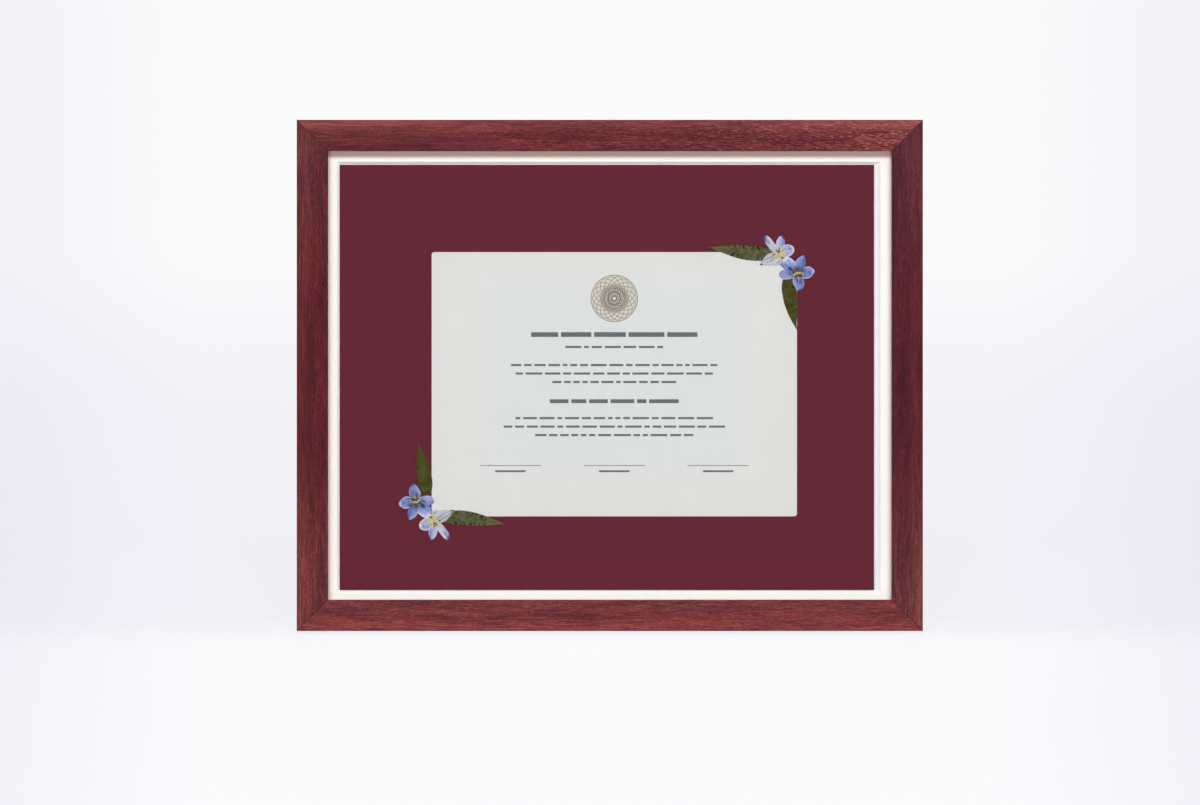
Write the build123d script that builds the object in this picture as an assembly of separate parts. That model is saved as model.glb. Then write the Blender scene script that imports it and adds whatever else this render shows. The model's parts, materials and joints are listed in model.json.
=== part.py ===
from build123d import *
import math
import os

# A certificate frame that stands on a table on its easel leg. All sizes are in millimetres and degrees.
# Each piece is modelled upright: the rails' back faces lie in the plane y = 0, the front faces -Y, and the
# bottom of the frame is at z = 0. Depth is counted from the rails' back towards the front. At the end the
# whole frame is leaned back onto its leg.

# Glazing package, a standard 20 x 16 inch picture size
glass_width = 508.0
glass_height = 406.4
glass_thickness = 2.0
package_clearance = 1.6
mat_thickness = 2.0
mat_border = 12.5
mat_border_right = 14.4
mount_board_thickness = 5.0
back_board_thickness = 3.0
back_board_recess = 0.3

# Burgundy card inside the mat's window, with the gap to the window on each side
card_thickness = 0.8
card_gap_left = 0.3
card_gap_right = 3.6
card_gap_bottom = 0.3
card_gap_top = 0.6

# Certificate sheet and the tape under it
certificate_width = 323.4
certificate_height = 234.0
certificate_thickness = 0.2
certificate_right_of_centre = 4.0
certificate_below_centre = 7.8
certificate_corner_radius = 2.5
certificate_corner_cut = 26.0
tape_length = 60.0
tape_width = 12.0
tape_thickness = 0.1
tape_inset = 14.0

# Moulding section
moulding_width = 27.6
moulding_depth = 19.0
rabbet_lip = 6.4
crest_from_outer = 13.0
outer_drop = 2.2
sight_drop = 1.6
outer_arris = 1.2
sight_arris = 0.6
back_arris = 0.8
mitre_gap = 0.1

# V-nails, two in each mitre, driven flush with the back
nail_leg = 5.0
nail_sheet = 0.5
nail_length = 8.0
nail_first = 5.0
nail_second = 13.0

# Pressed flower sprays. A petal is its direction, its length and its half width.
petal_widest = 0.6
petal_thickness = 0.25
stamen_radius = 3.0
stamen_height = 0.1
flower_disc_radius = 4.0
pale_petals = [(129, 21.5, 4.0), (81, 17.9, 4.4), (27, 13.9, 5.4), (208, 19.8, 5.2), (245, 10.5, 4.2)]
blue_petals = [(71, 17.6, 4.9), (10, 14.6, 5.3), (277, 16.3, 5.1), (182, 17.1, 4.3), (132, 17.6, 6.0)]
pale_flower_place = (-8.2, 8.5)
blue_flower_place = (8.2, -8.5)
leaf_thickness = 0.2

# A leaf is its base in the spray, its direction and length, and the swell of its left and right edges,
# each with how far along the leaf that swell is.
side_leaf_base = (-15.0, 10.8)
side_leaf_direction = 176.0
side_leaf_length = 56.4
side_leaf_left_swell = (9.3, 17.5)
side_leaf_right_swell = (4.0, 27.0)
down_leaf_base = (-0.6, -10.6)
down_leaf_direction = -80.7
down_leaf_length = 49.0
down_leaf_left_swell = (5.3, 18.0)
down_leaf_right_swell = (8.1, 16.5)

# Place of each spray, measured from the corner of the certificate that it covers
upper_spray_place = (-7.0, -10.6)
lower_spray_place = (-5.8, 6.0)

# Turn buttons and their screws
button_root_radius = 6.0
button_tip_radius = 3.8
button_reach = 18.0
button_thickness = 1.2
button_gap = 0.1
button_edge = 0.3
button_inset = 12.0
button_spacing_across = 280.0
button_spacing_up = 220.0
screw_radius = 1.6
screw_depth = 10.0
screw_head_radius = 3.4
screw_head_height = 1.9
screw_head_round = 1.1
screw_slot_length = 3.6
screw_slot_width = 0.7
screw_slot_depth = 1.0
running_clearance = 0.08
fastener_clearance = 0.05
hole_tip_room = 0.5

# Sawtooth hanger on the top rail
hanger_length = 46.0
hanger_height = 9.0
hanger_sheet = 0.9
hanger_pad = 8.0
hanger_ramp = 3.0
hanger_rise = 2.2
hanger_inset = 10.6
tooth_pitch = 2.4
tooth_depth = 1.8
hanger_nail_radius = 0.9
hanger_nail_depth = 9.0
hanger_nail_head_radius = 2.1
hanger_nail_head_height = 0.9

# Rubber bumpers low on the back
bumper_radius = 5.0
bumper_height = 3.0
bumper_round = 1.6
bumper_from_side = 34.0
bumper_from_bottom = 10.6

# Easel leg and its hinge
lean = 10.0
leg_open = 18.0
hinge_height = 310.0
leg_thickness = 3.0
leg_top_width = 46.0
leg_foot_width = 84.0
leg_corner = 3.0
leg_clearance = 0.3
hinge_width = 40.0
hinge_sheet = 0.8
hinge_corner = 3.0
pin_radius = 1.0
pin_end_round = 0.4
knuckle_play = 0.05
knuckle_side_gap = 0.3
centre_knuckle_width = 14.0
barrel_clearance = 0.4
fixed_leaf_height = 25.0
moving_leaf_height = 28.0
stop_gap = 0.1
rivet_radius = 1.6
rivet_head_radius = 3.2
rivet_head_height = 1.2
rivet_spacing = 26.0
fixed_rivet_above_pin = 16.0
moving_rivet_below_pin = 17.0

# Sizes that follow from the driving dimensions
opening_width = glass_width + 2 * package_clearance
opening_height = glass_height + 2 * package_clearance
sight_width = opening_width - 2 * rabbet_lip
sight_height = opening_height - 2 * rabbet_lip
outer_width = sight_width + 2 * moulding_width
outer_height = sight_height + 2 * moulding_width
rail_back_width = moulding_width - rabbet_lip
centre_height = outer_height / 2

# The package stands on the bottom rail's rabbet, so it sits one clearance below the middle
package_centre = centre_height - package_clearance
back_board_back = back_board_recess
mount_board_back = back_board_back + back_board_thickness
mat_back = mount_board_back + mount_board_thickness
glass_back = mat_back + mat_thickness
rabbet_depth = glass_back + glass_thickness
window_width = glass_width - mat_border - mat_border_right
window_x = (mat_border - mat_border_right) / 2
window_height = glass_height - 2 * mat_border
window_back_width = window_width - 2 * mat_thickness
window_back_height = window_height - 2 * mat_thickness
card_width = window_back_width - card_gap_left - card_gap_right
card_height = window_back_height - card_gap_bottom - card_gap_top
card_x = window_x + (card_gap_left - card_gap_right) / 2
card_z = package_centre + (card_gap_bottom - card_gap_top) / 2
tape_back = mat_back + card_thickness
certificate_back = tape_back + tape_thickness
leaf_back = certificate_back + certificate_thickness
pale_flower_back = leaf_back + leaf_thickness
blue_flower_back = pale_flower_back + petal_thickness
certificate_x = certificate_right_of_centre
certificate_z = centre_height - certificate_below_centre

# Hinge sizes: the moving leaf lies on the leg's outer face, flush with the barrel
knuckle_radius = pin_radius + knuckle_play + hinge_sheet
leg_back = leg_clearance + leg_thickness
pivot_y = leg_back + hinge_sheet - knuckle_radius
fixed_leaf_y = hinge_sheet - back_board_recess
side_knuckle_width = (hinge_width - centre_knuckle_width) / 2 - knuckle_side_gap
leg_top = hinge_height - knuckle_radius - barrel_clearance

# The moving leaf's tongue reaches up until it meets the fixed leaf when the leg is open
open_angle = math.radians(leg_open)
tongue_front = leg_back - pivot_y
tongue_room = pivot_y + tongue_front * math.cos(open_angle) - fixed_leaf_y - stop_gap
tongue_length = tongue_room / math.sin(open_angle)


def slab(sketch, back, thickness):
    """A flat piece in the picture's plane, from a depth towards the front."""
    return extrude(Plane.XZ.offset(back) * sketch, amount=thickness)


def block(low, high):
    """A box between two corners."""
    size = [b - a for a, b in zip(low, high)]
    middle = [(a + b) / 2 for a, b in zip(low, high)]
    return Pos(*middle) * Box(*size)


def bar_along_x(radius, length, y, z):
    """A round bar across the frame, centred on x = 0."""
    return Pos(0, y, z) * Rot(0, 90, 0) * Cylinder(radius, length)


def on_back(x, y, z):
    """A place on the back whose own +Z points out of the back."""
    return Pos(x, y, z) * Rot(-90, 0, 0)


# Moulding


def moulding_section():
    """The rail's section: depth runs along -X and width along +Y, from the outer edge inwards."""
    back_outer = (0, 0)
    outer_front = (outer_drop - moulding_depth, 0)
    crest = (-moulding_depth, crest_from_outer)
    sight_front = (sight_drop - moulding_depth, moulding_width)
    sight_back = (-rabbet_depth, moulding_width)
    rabbet_corner = (-rabbet_depth, rail_back_width)
    back_inner = (0, rail_back_width)
    section = make_face([
        Line(back_outer, outer_front),
        TangentArc(crest, outer_front, tangent=(0, -1)),
        TangentArc(crest, sight_front, tangent=(0, 1)),
        Line(sight_front, sight_back),
        Line(sight_back, rabbet_corner),
        Line(rabbet_corner, back_inner),
        Line(back_inner, back_outer),
    ])
    for corner, radius in ((back_outer, back_arris), (outer_front, outer_arris), (sight_front, sight_arris)):
        section = fillet(section.vertices().sort_by_distance(corner)[0], radius)
    return section


def rail(length, from_centre, turn):
    """A mitred length of moulding, turned about the frame's centre to its own side."""
    bar = extrude(Plane.YZ * moulding_section(), amount=length / 2, both=True)
    half = (length - mitre_gap * math.sqrt(2)) / 2
    short_half = half - moulding_width
    long_edge = [(-half, 0), (half, 0)]
    short_edge = [(short_half, moulding_width), (-short_half, moulding_width)]
    bar = bar & slab(make_face(Polyline(*long_edge, *short_edge, close=True)), 0, moulding_depth)
    return Pos(0, 0, centre_height) * Rot(0, turn, 0) * Pos(0, 0, -from_centre) * bar


def v_nail(side_x, side_z, inset, room):
    """A folded nail whose two legs run along the two rails from one point of the mitre, or its slot."""
    near = inset - room
    inner = inset + nail_sheet + room
    far = inset + nail_leg + room
    legs = [(near, near), (far, near), (far, inner), (inner, inner), (inner, far), (near, far)]
    points = [(side_x * (outer_width / 2 - u), centre_height + side_z * (centre_height - w)) for u, w in legs]
    return slab(make_face(Polyline(*points, close=True)), 0, nail_length + room)


corners = [(side_x, side_z) for side_x in (-1, 1) for side_z in (-1, 1)]
nail_places = [(x, z, inset) for x, z in corners for inset in (nail_first, nail_second)]
v_nails = [v_nail(*place, 0) for place in nail_places]
nail_slots = [v_nail(*place, fastener_clearance) for place in nail_places]

rails = {
    "moulding_bottom_rail": rail(outer_width, outer_height / 2, 0),
    "moulding_left_rail": rail(outer_height, outer_width / 2, 90),
    "moulding_top_rail": rail(outer_width, outer_height / 2, 180),
    "moulding_right_rail": rail(outer_height, outer_width / 2, 270),
}
rails = {name: bar - nail_slots for name, bar in rails.items()}


# Glazing package

package = Pos(0, package_centre) * Rectangle(glass_width, glass_height)
glazing_sheet = slab(package, glass_back, glass_thickness)
mount_board = slab(package, mat_back - mount_board_thickness, mount_board_thickness)
back_board = slab(package, back_board_back, back_board_thickness)

window = loft([
    Plane.XZ.offset(mat_back) * Pos(window_x, package_centre) * Rectangle(window_back_width, window_back_height),
    Plane.XZ.offset(glass_back) * Pos(window_x, package_centre) * Rectangle(window_width, window_height),
], ruled=True)
white_mat = slab(package, mat_back, mat_thickness) - window
burgundy_inset_card = slab(Pos(card_x, card_z) * Rectangle(card_width, card_height), mat_back, card_thickness)


# Certificate


def certificate_outline():
    """The sheet with rounded corners and its upper right corner cut off."""
    sheet = RectangleRounded(certificate_width, certificate_height, certificate_corner_radius)
    right = certificate_width / 2
    top = certificate_height / 2
    cut = certificate_corner_cut
    corner = Polyline((right - cut, top), (right, top), (right, top - cut), close=True)
    return sheet - make_face(corner)


certificate_place = Pos(certificate_x, certificate_z)
certificate_sheet = slab(certificate_place * certificate_outline(), certificate_back, certificate_thickness)

tape_x = certificate_width / 2 - tape_inset - tape_length / 2
tape_z = certificate_height / 2 - certificate_corner_cut - tape_inset
tape_strip = Rectangle(tape_length, tape_width)
tape_places = [certificate_place * Pos(x * tape_x, z * tape_z) for x, z in corners]
tape_tabs = [slab(place * tape_strip, tape_back, tape_thickness) for place in tape_places]


# Pressed flowers and leaves


def blade(length, left, right):
    """A pointed outline along +X that swells to its left and to its right, each at its own distance."""
    left_swell, left_along = left
    right_swell, right_along = right
    left_point = (left_along, left_swell)
    right_point = (right_along, -right_swell)
    return make_face([
        TangentArc(left_point, (0, 0), tangent=(-1, 0)),
        TangentArc(left_point, (length, 0), tangent=(1, 0)),
        TangentArc(right_point, (0, 0), tangent=(-1, 0)),
        TangentArc(right_point, (length, 0), tangent=(1, 0)),
    ])


def flower(spray, place, petals, back):
    """Petals around a small disc, with the stamens as a low boss on it."""
    outline = Circle(flower_disc_radius)
    for direction, length, half_width in petals:
        swell = (half_width, petal_widest * length)
        outline += Rot(0, 0, direction) * blade(length, swell, swell)
    petals_slab = slab(spray * Pos(*place) * outline, back, petal_thickness)
    stamens = slab(spray * Pos(*place) * Circle(stamen_radius), back + petal_thickness, stamen_height)
    return petals_slab + stamens


def leaf(spray, base, direction, length, left, right):
    """One flat pressed leaf."""
    outline = Pos(*base) * Rot(0, 0, direction) * blade(length, left, right)
    return slab(spray * outline, leaf_back, leaf_thickness)


def spray_pieces(name, spray):
    """The two flowers and two leaves that lie on one corner of the certificate."""
    side_swells = (side_leaf_left_swell, side_leaf_right_swell)
    down_swells = (down_leaf_left_swell, down_leaf_right_swell)
    return {
        name + "_pale_flower": flower(spray, pale_flower_place, pale_petals, pale_flower_back),
        name + "_blue_flower": flower(spray, blue_flower_place, blue_petals, blue_flower_back),
        name + "_side_leaf": leaf(spray, side_leaf_base, side_leaf_direction, side_leaf_length, *side_swells),
        name + "_down_leaf": leaf(spray, down_leaf_base, down_leaf_direction, down_leaf_length, *down_swells),
    }


upper_corner = Pos(certificate_width / 2, certificate_height / 2)
lower_corner = Pos(-certificate_width / 2, -certificate_height / 2)
upper_spray = certificate_place * upper_corner * Pos(*upper_spray_place)
lower_spray = certificate_place * lower_corner * Pos(*lower_spray_place) * Rot(0, 0, 180)
sprays = spray_pieces("upper_spray", upper_spray) | spray_pieces("lower_spray", lower_spray)


# Turn buttons


def turn_button(x, z, direction):
    """A flat button on the back of a rail, with its hole on the screw and its tip over the back board."""
    root = Circle(button_root_radius)
    tip = Pos(button_reach, 0) * Circle(button_tip_radius)
    plate = extrude(make_hull(root.edges() + tip.edges()), amount=button_thickness)
    plate = fillet(plate.faces().sort_by(Axis.Z)[-1].edges(), button_edge)
    hole = Pos(0, 0, button_thickness / 2) * Cylinder(screw_radius + running_clearance, button_thickness)
    return on_back(x, button_gap, z) * Rot(0, 0, direction) * (plate - hole)


def cross_recess():
    """The cross cut into a screw head, standing on the plane where it ends."""
    slot = Box(screw_slot_length, screw_slot_width, 2 * screw_slot_depth)
    return slot + Rot(0, 0, 90) * slot


def button_screw(x, z):
    """A pan-head screw through a button into the rail."""
    seat = button_gap + button_thickness + button_gap
    shank = Pos(0, 0, (seat - screw_depth) / 2) * Cylinder(screw_radius, screw_depth + seat)
    head = Pos(0, 0, seat + screw_head_height / 2) * Cylinder(screw_head_radius, screw_head_height)
    head = fillet(head.edges().group_by(Axis.Z)[-1], screw_head_round)
    recess = Pos(0, 0, seat + screw_head_height) * cross_recess()
    return on_back(x, 0, z) * (shank + head - recess)


def drilled(piece, places, radius, depth):
    """A rail with round blind holes drilled into its back."""
    bottom = depth + hole_tip_room
    drill = Pos(0, 0, -bottom / 2) * Cylinder(radius + fastener_clearance, bottom)
    return piece - [on_back(x, 0, z) * drill for x, z in places]


across = button_spacing_across / 2
upper_row = centre_height + button_spacing_up / 2
lower_row = centre_height - button_spacing_up / 2
left_line = button_inset - outer_width / 2
right_line = outer_width / 2 - button_inset
top_line = outer_height - button_inset
button_places = {
    "turn_button_top_left": (-across, top_line, 90),
    "turn_button_top_right": (across, top_line, 90),
    "turn_button_bottom_left": (-across, button_inset, -90),
    "turn_button_bottom_right": (across, button_inset, -90),
    "turn_button_left_upper": (left_line, upper_row, 0),
    "turn_button_left_lower": (left_line, lower_row, 0),
    "turn_button_right_upper": (right_line, upper_row, 180),
    "turn_button_right_lower": (right_line, lower_row, 180),
}
turn_buttons = {name: turn_button(*place) for name, place in button_places.items()}
button_screws = [button_screw(x, z) for x, z, direction in button_places.values()]
screw_holes = [(x, z) for x, z, direction in button_places.values()]
rails = {name: drilled(bar, screw_holes, screw_radius, screw_depth) for name, bar in rails.items()}


# Sawtooth hanger


def sawtooth_strip(z):
    """A bowed strip with a flat pad at each end and a row of teeth along its lower edge."""
    end = hanger_length / 2
    bend = end - hanger_pad
    rise = bend - hanger_ramp
    under = [(-end, 0), (-bend, 0), (-rise, hanger_rise), (rise, hanger_rise), (bend, 0), (end, 0)]
    over = [(x, y + hanger_sheet) for x, y in reversed(under)]
    bottom = z - hanger_height / 2
    bowed = make_face(Polyline(*under, *over, close=True))
    strip = extrude(Plane.XY.offset(bottom) * bowed, amount=hanger_height)
    count = int(2 * rise / tooth_pitch)
    first = -(count - 1) * tooth_pitch / 2
    reach = hanger_rise + hanger_sheet
    for index in range(count):
        x = first + index * tooth_pitch
        left = (x - tooth_pitch / 2, bottom)
        right = (x + tooth_pitch / 2, bottom)
        notch = make_face(Polyline(left, right, (x, bottom + tooth_depth), close=True))
        strip -= slab(notch, -reach, reach)
    pad_hole = Cylinder(hanger_nail_radius + fastener_clearance, 2 * hanger_sheet)
    return strip - [on_back(x, hanger_sheet, z) * pad_hole for x in hanger_nail_x]


def hanger_nail(x, z):
    """A small round-headed nail through a pad of the strip."""
    length = hanger_nail_depth + hanger_sheet
    shank = Pos(0, 0, hanger_sheet - length / 2) * Cylinder(hanger_nail_radius, length)
    head = Pos(0, 0, hanger_sheet + hanger_nail_head_height / 2)
    head = head * Cylinder(hanger_nail_head_radius, hanger_nail_head_height)
    head = fillet(head.edges().group_by(Axis.Z)[-1], hanger_nail_head_height / 2)
    return on_back(x, 0, z) * (shank + head)


hanger_nail_x = [side * (hanger_length - hanger_pad) / 2 for side in (-1, 1)]
hanger_z = outer_height - hanger_inset
sawtooth_hanger = sawtooth_strip(hanger_z)
hanger_nails = [hanger_nail(x, hanger_z) for x in hanger_nail_x]
nail_holes = [(x, hanger_z) for x in hanger_nail_x]
top_rail = rails["moulding_top_rail"]
rails["moulding_top_rail"] = drilled(top_rail, nail_holes, hanger_nail_radius, hanger_nail_depth)


# Rubber bumpers

bumper = Pos(0, 0, bumper_height / 2) * Cylinder(bumper_radius, bumper_height)
bumper = fillet(bumper.edges().group_by(Axis.Z)[-1], bumper_round)
bumper_x = outer_width / 2 - bumper_from_side
wall_bumpers = [on_back(x, 0, bumper_from_bottom) * bumper for x in (-bumper_x, bumper_x)]


# Easel hinge


def rivet(x, z, inner_y, outer_y):
    """A rivet that ends flush inside and has a low domed head outside."""
    length = outer_y - inner_y
    shank = Pos(0, 0, length / 2) * Cylinder(rivet_radius, length)
    head = Pos(0, 0, length + rivet_head_height / 2) * Cylinder(rivet_head_radius, rivet_head_height)
    head = fillet(head.edges().group_by(Axis.Z)[-1], rivet_head_height * 0.8)
    return on_back(x, inner_y, z) * (shank + head)


def riveted(piece, z):
    """A plate with the two holes that its rivets go through."""
    hole = Cylinder(rivet_radius + fastener_clearance, rivet_hole_length)
    return piece - [on_back(x, 0, z) * hole for x in rivet_x]


def side_knuckles(radius):
    """The two bars of the fixed leaf's knuckles."""
    offset = (hinge_width - side_knuckle_width) / 2
    knuckle = bar_along_x(radius, side_knuckle_width, pivot_y, hinge_height)
    return [Pos(x, 0, 0) * knuckle for x in (-offset, offset)]


def fixed_leaf():
    """The leaf on the back board: a plate that turns up into two knuckles, with room for the centre one."""
    half = hinge_width / 2
    low = hinge_height + knuckle_radius - hinge_sheet
    high = hinge_height + fixed_leaf_height
    plate = block((-half, -back_board_recess, low), (half, fixed_leaf_y, high))
    plate = fillet(plate.edges().filter_by(Axis.Y).group_by(Axis.Z)[-1], hinge_corner)
    turned_up = block((-half, -back_board_recess, low), (half, pivot_y, low + hinge_sheet))
    notch_half = centre_knuckle_width / 2 + knuckle_side_gap
    notch_top = hinge_height + knuckle_radius + barrel_clearance
    notch = block((-notch_half, -back_board_recess, low), (notch_half, pivot_y, notch_top))
    body = plate + turned_up - notch + side_knuckles(knuckle_radius)
    return riveted(body - pin_bore, fixed_rivet_z)


def moving_leaf():
    """The leaf on the leg, folded: its middle runs over the barrel and on up as the stop's tongue."""
    half = hinge_width / 2
    middle = centre_knuckle_width / 2
    low = hinge_height - moving_leaf_height
    outside = leg_back + hinge_sheet
    plate = block((-half, leg_back, low), (half, outside, leg_top))
    plate = fillet(plate.edges().filter_by(Axis.Y).group_by(Axis.Z)[0], hinge_corner)
    tongue = block((-middle, leg_back, leg_top), (middle, outside, hinge_height + tongue_length))
    knuckle = bar_along_x(knuckle_radius, centre_knuckle_width, pivot_y, hinge_height)
    return riveted(plate + tongue + knuckle - pin_bore, moving_rivet_z)


def leg_board():
    """The leg, folded flat, longer than it needs to be at the foot."""
    top = leg_top_width / 2
    foot = leg_foot_width / 2 + leg_spare * (leg_foot_width - leg_top_width) / (2 * leg_top)
    foot_edge = [(-foot, -leg_spare), (foot, -leg_spare)]
    top_edge = [(top, leg_top), (-top, leg_top)]
    outline = make_face(Polyline(*foot_edge, *top_edge, close=True))
    outline = fillet(outline.vertices().group_by(Axis.Y)[-1], leg_corner)
    return riveted(slab(outline, -leg_back, leg_thickness), moving_rivet_z)


rivet_x = [side * rivet_spacing / 2 for side in (-1, 1)]
fixed_rivet_z = hinge_height + fixed_rivet_above_pin
moving_rivet_z = hinge_height - moving_rivet_below_pin
rivet_hole_length = 2 * (back_board_thickness + back_board_recess + leg_back + hinge_sheet)
leg_spare = leg_foot_width
pin_bore = bar_along_x(pin_radius + knuckle_play, hinge_width, pivot_y, hinge_height)
hinge_pin = bar_along_x(pin_radius, hinge_width, pivot_y, hinge_height)
hinge_pin = fillet(hinge_pin.edges().filter_by(GeomType.CIRCLE), pin_end_round)
back_board = riveted(back_board, fixed_rivet_z)
hinge_fixed_leaf = fixed_leaf()
fixed_leaf_rivets = [rivet(x, fixed_rivet_z, -mount_board_back, fixed_leaf_y) for x in rivet_x]
hinge_moving_leaf = moving_leaf()
moving_leaf_rivets = [rivet(x, moving_rivet_z, leg_clearance, leg_back + hinge_sheet) for x in rivet_x]
easel_leg = leg_board()


# Standing: the leg opens about its pin, and the frame leans back until the leg meets the table

lean_angle = math.radians(lean)
rest_y = back_arris * (math.cos(lean_angle) - math.sin(lean_angle))
rest_z = -back_arris * (math.cos(lean_angle) + math.sin(lean_angle) - 1)
standing = Pos(0, rest_y, rest_z) * Rot(-lean, 0, 0)
opened = Pos(0, pivot_y, hinge_height) * Rot(leg_open, 0, 0) * Pos(0, -pivot_y, -hinge_height)
below_table = Pos(0, 0, -outer_height) * Box(4 * outer_height, 4 * outer_height, 2 * outer_height)

pieces = rails | sprays | turn_buttons
pieces["corner_v_nails"] = v_nails
pieces["glazing_sheet"] = glazing_sheet
pieces["white_mat"] = white_mat
pieces["burgundy_inset_card"] = burgundy_inset_card
pieces["certificate_sheet"] = certificate_sheet
pieces["certificate_tape_tabs"] = tape_tabs
pieces["mount_board"] = mount_board
pieces["back_board"] = back_board
pieces["turn_button_screws"] = button_screws
pieces["sawtooth_hanger"] = sawtooth_hanger
pieces["hanger_nails"] = hanger_nails
pieces["wall_bumpers"] = wall_bumpers
pieces["hinge_fixed_leaf"] = hinge_fixed_leaf
pieces["hinge_pin"] = hinge_pin
pieces["fixed_leaf_rivets"] = fixed_leaf_rivets
pieces["hinge_moving_leaf"] = opened * hinge_moving_leaf
pieces["moving_leaf_rivets"] = [opened * solid for solid in moving_leaf_rivets]
pieces["easel_leg"] = opened * easel_leg


def stood_up(piece):
    """A piece, or a group of like pieces, leaned back with the frame."""
    if isinstance(piece, list):
        return Compound([standing * solid for solid in piece])
    return standing * piece


pieces = {name: stood_up(piece) for name, piece in pieces.items()}
pieces["easel_leg"] = pieces["easel_leg"] - below_table

os.makedirs("parts", exist_ok=True)
for name, piece in pieces.items():
    export_step(piece, os.path.join("parts", name + ".step"))
print(len(pieces), "nodes, frame", round(outer_width, 2), "x", round(outer_height, 2), "mm")
print("tongue", round(tongue_length, 2), "mm")
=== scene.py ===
# %% [markdown]
# # A certificate frame, dressed
# The CAD model already holds every piece at its real size: four mitred rails, the glazing, a white mat, a
# burgundy card, a paper sheet with pressed flowers on two corners, and the hardware behind. This lesson
# gives those pieces their finish, and rebuilds the few whose form is finer than a CAD solid needs to be.

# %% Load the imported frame
import json
import math
import random
from collections import namedtuple

import bmesh
import bpy
from mathutils import Matrix, Vector


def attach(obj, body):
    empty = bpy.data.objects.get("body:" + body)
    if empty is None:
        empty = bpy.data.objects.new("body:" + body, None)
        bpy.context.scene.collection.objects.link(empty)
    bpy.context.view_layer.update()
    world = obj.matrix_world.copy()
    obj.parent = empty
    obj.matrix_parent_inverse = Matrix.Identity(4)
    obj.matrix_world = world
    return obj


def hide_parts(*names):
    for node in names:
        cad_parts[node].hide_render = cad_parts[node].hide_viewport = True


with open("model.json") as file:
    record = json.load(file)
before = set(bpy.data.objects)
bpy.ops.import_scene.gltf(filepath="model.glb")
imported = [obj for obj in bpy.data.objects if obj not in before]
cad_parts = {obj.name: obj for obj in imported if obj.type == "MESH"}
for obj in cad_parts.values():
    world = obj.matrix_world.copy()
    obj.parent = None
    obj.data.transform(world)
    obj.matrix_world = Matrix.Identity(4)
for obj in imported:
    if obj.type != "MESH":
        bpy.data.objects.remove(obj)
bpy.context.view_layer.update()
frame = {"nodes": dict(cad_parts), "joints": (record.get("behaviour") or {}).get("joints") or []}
nodes = frame["nodes"]

# %% [markdown]
# ## The leaning picture plane
# The frame stands leaned back on its easel leg. Flat things are easiest to lay out in the picture's own
# axes: right, up, and out towards the viewer. The swivel axis of a turn button is square to the back, so
# it gives the lean. Every new piece is modelled in those axes and stood up at the end, with its place in
# its mesh.

# %% Axes of the picture, and boxes measured along them
MM = 0.001
swivel = next(joint for joint in frame["joints"] if joint["name"] == "turn_button_top_left_swivel")
right = Vector((1, 0, 0))
out = -Vector(swivel["axis"]).normalized()
up = out.cross(right)
standing = Matrix((right, up, out)).transposed().to_4x4()


def picture_points(name):
    """The vertices of a CAD node, along the picture's right, up and out directions."""
    return [Vector((v.co.dot(right), v.co.dot(up), v.co.dot(out))) for v in nodes[name].data.vertices]


def box_of(points):
    """Lowest and highest corner round some points."""
    return [Vector([end(side) for side in zip(*points)]) for end in (min, max)]


def picture_box(name):
    """Lowest and highest corner of a CAD node in the picture's axes."""
    return box_of(picture_points(name))


left_low, left_high = picture_box("moulding_left_rail")
right_high = picture_box("moulding_right_rail")[1]
bottom_low = picture_box("moulding_bottom_rail")[0]
top_high = picture_box("moulding_top_rail")[1]
outer_width = right_high.x - left_low.x
outer_height = top_high.y - bottom_low.y
centre = Vector(((right_high.x + left_low.x) / 2, (top_high.y + bottom_low.y) / 2, left_low.z))
moulding_width = left_high.x - left_low.x
moulding_depth = left_high.z - left_low.z
print("frame", round(outer_width / MM, 1), "x", round(outer_height / MM, 1), "mm")

# %% [markdown]
# ## Helpers for meshes and node trees
# A few short functions keep the cells below readable. Some make meshes into pieces that ride on the
# frame. The others build node trees: a wire is the output of a node, and plain arithmetic with wires adds
# the Math nodes.

# %% Helpers for pieces
SHARP_DEGREES = 40
SAME_PLACE = 1e-7


def new_object(name, data):
    """An object at the origin, linked to the scene."""
    made = bpy.data.objects.new(name, data)
    bpy.context.scene.collection.objects.link(made)
    return made


def poured(shape, mesh):
    """A mesh filled from an edited shape, which is freed."""
    shape.to_mesh(mesh)
    shape.free()
    return mesh


def tidy_mesh(mesh):
    """Merges doubles, points the faces outwards and shades everything smooth but the sharp edges."""
    shape = bmesh.new()
    shape.from_mesh(mesh)
    bmesh.ops.remove_doubles(shape, verts=shape.verts, dist=SAME_PLACE)
    bmesh.ops.recalc_face_normals(shape, faces=shape.faces)
    for face in shape.faces:
        face.smooth = True
    poured(shape, mesh).set_sharp_from_angle(angle=math.radians(SHARP_DEGREES))
    return mesh


def add_piece(name, mesh, replaces=None):
    """Stands a mesh of the picture's axes up, and lets it ride on the frame."""
    mesh.transform(standing)
    mesh.name = name
    piece = new_object(name, mesh)
    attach(piece, "frame")
    if replaces:
        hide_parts(replaces)
    print(name, len(mesh.polygons), "faces")
    return piece


def joined(meshes):
    """One mesh out of several, with the materials of the first."""
    shape = bmesh.new()
    for mesh in meshes:
        shape.from_mesh(mesh)
    return poured(shape, meshes[0])


# %% Helpers for node trees


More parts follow.
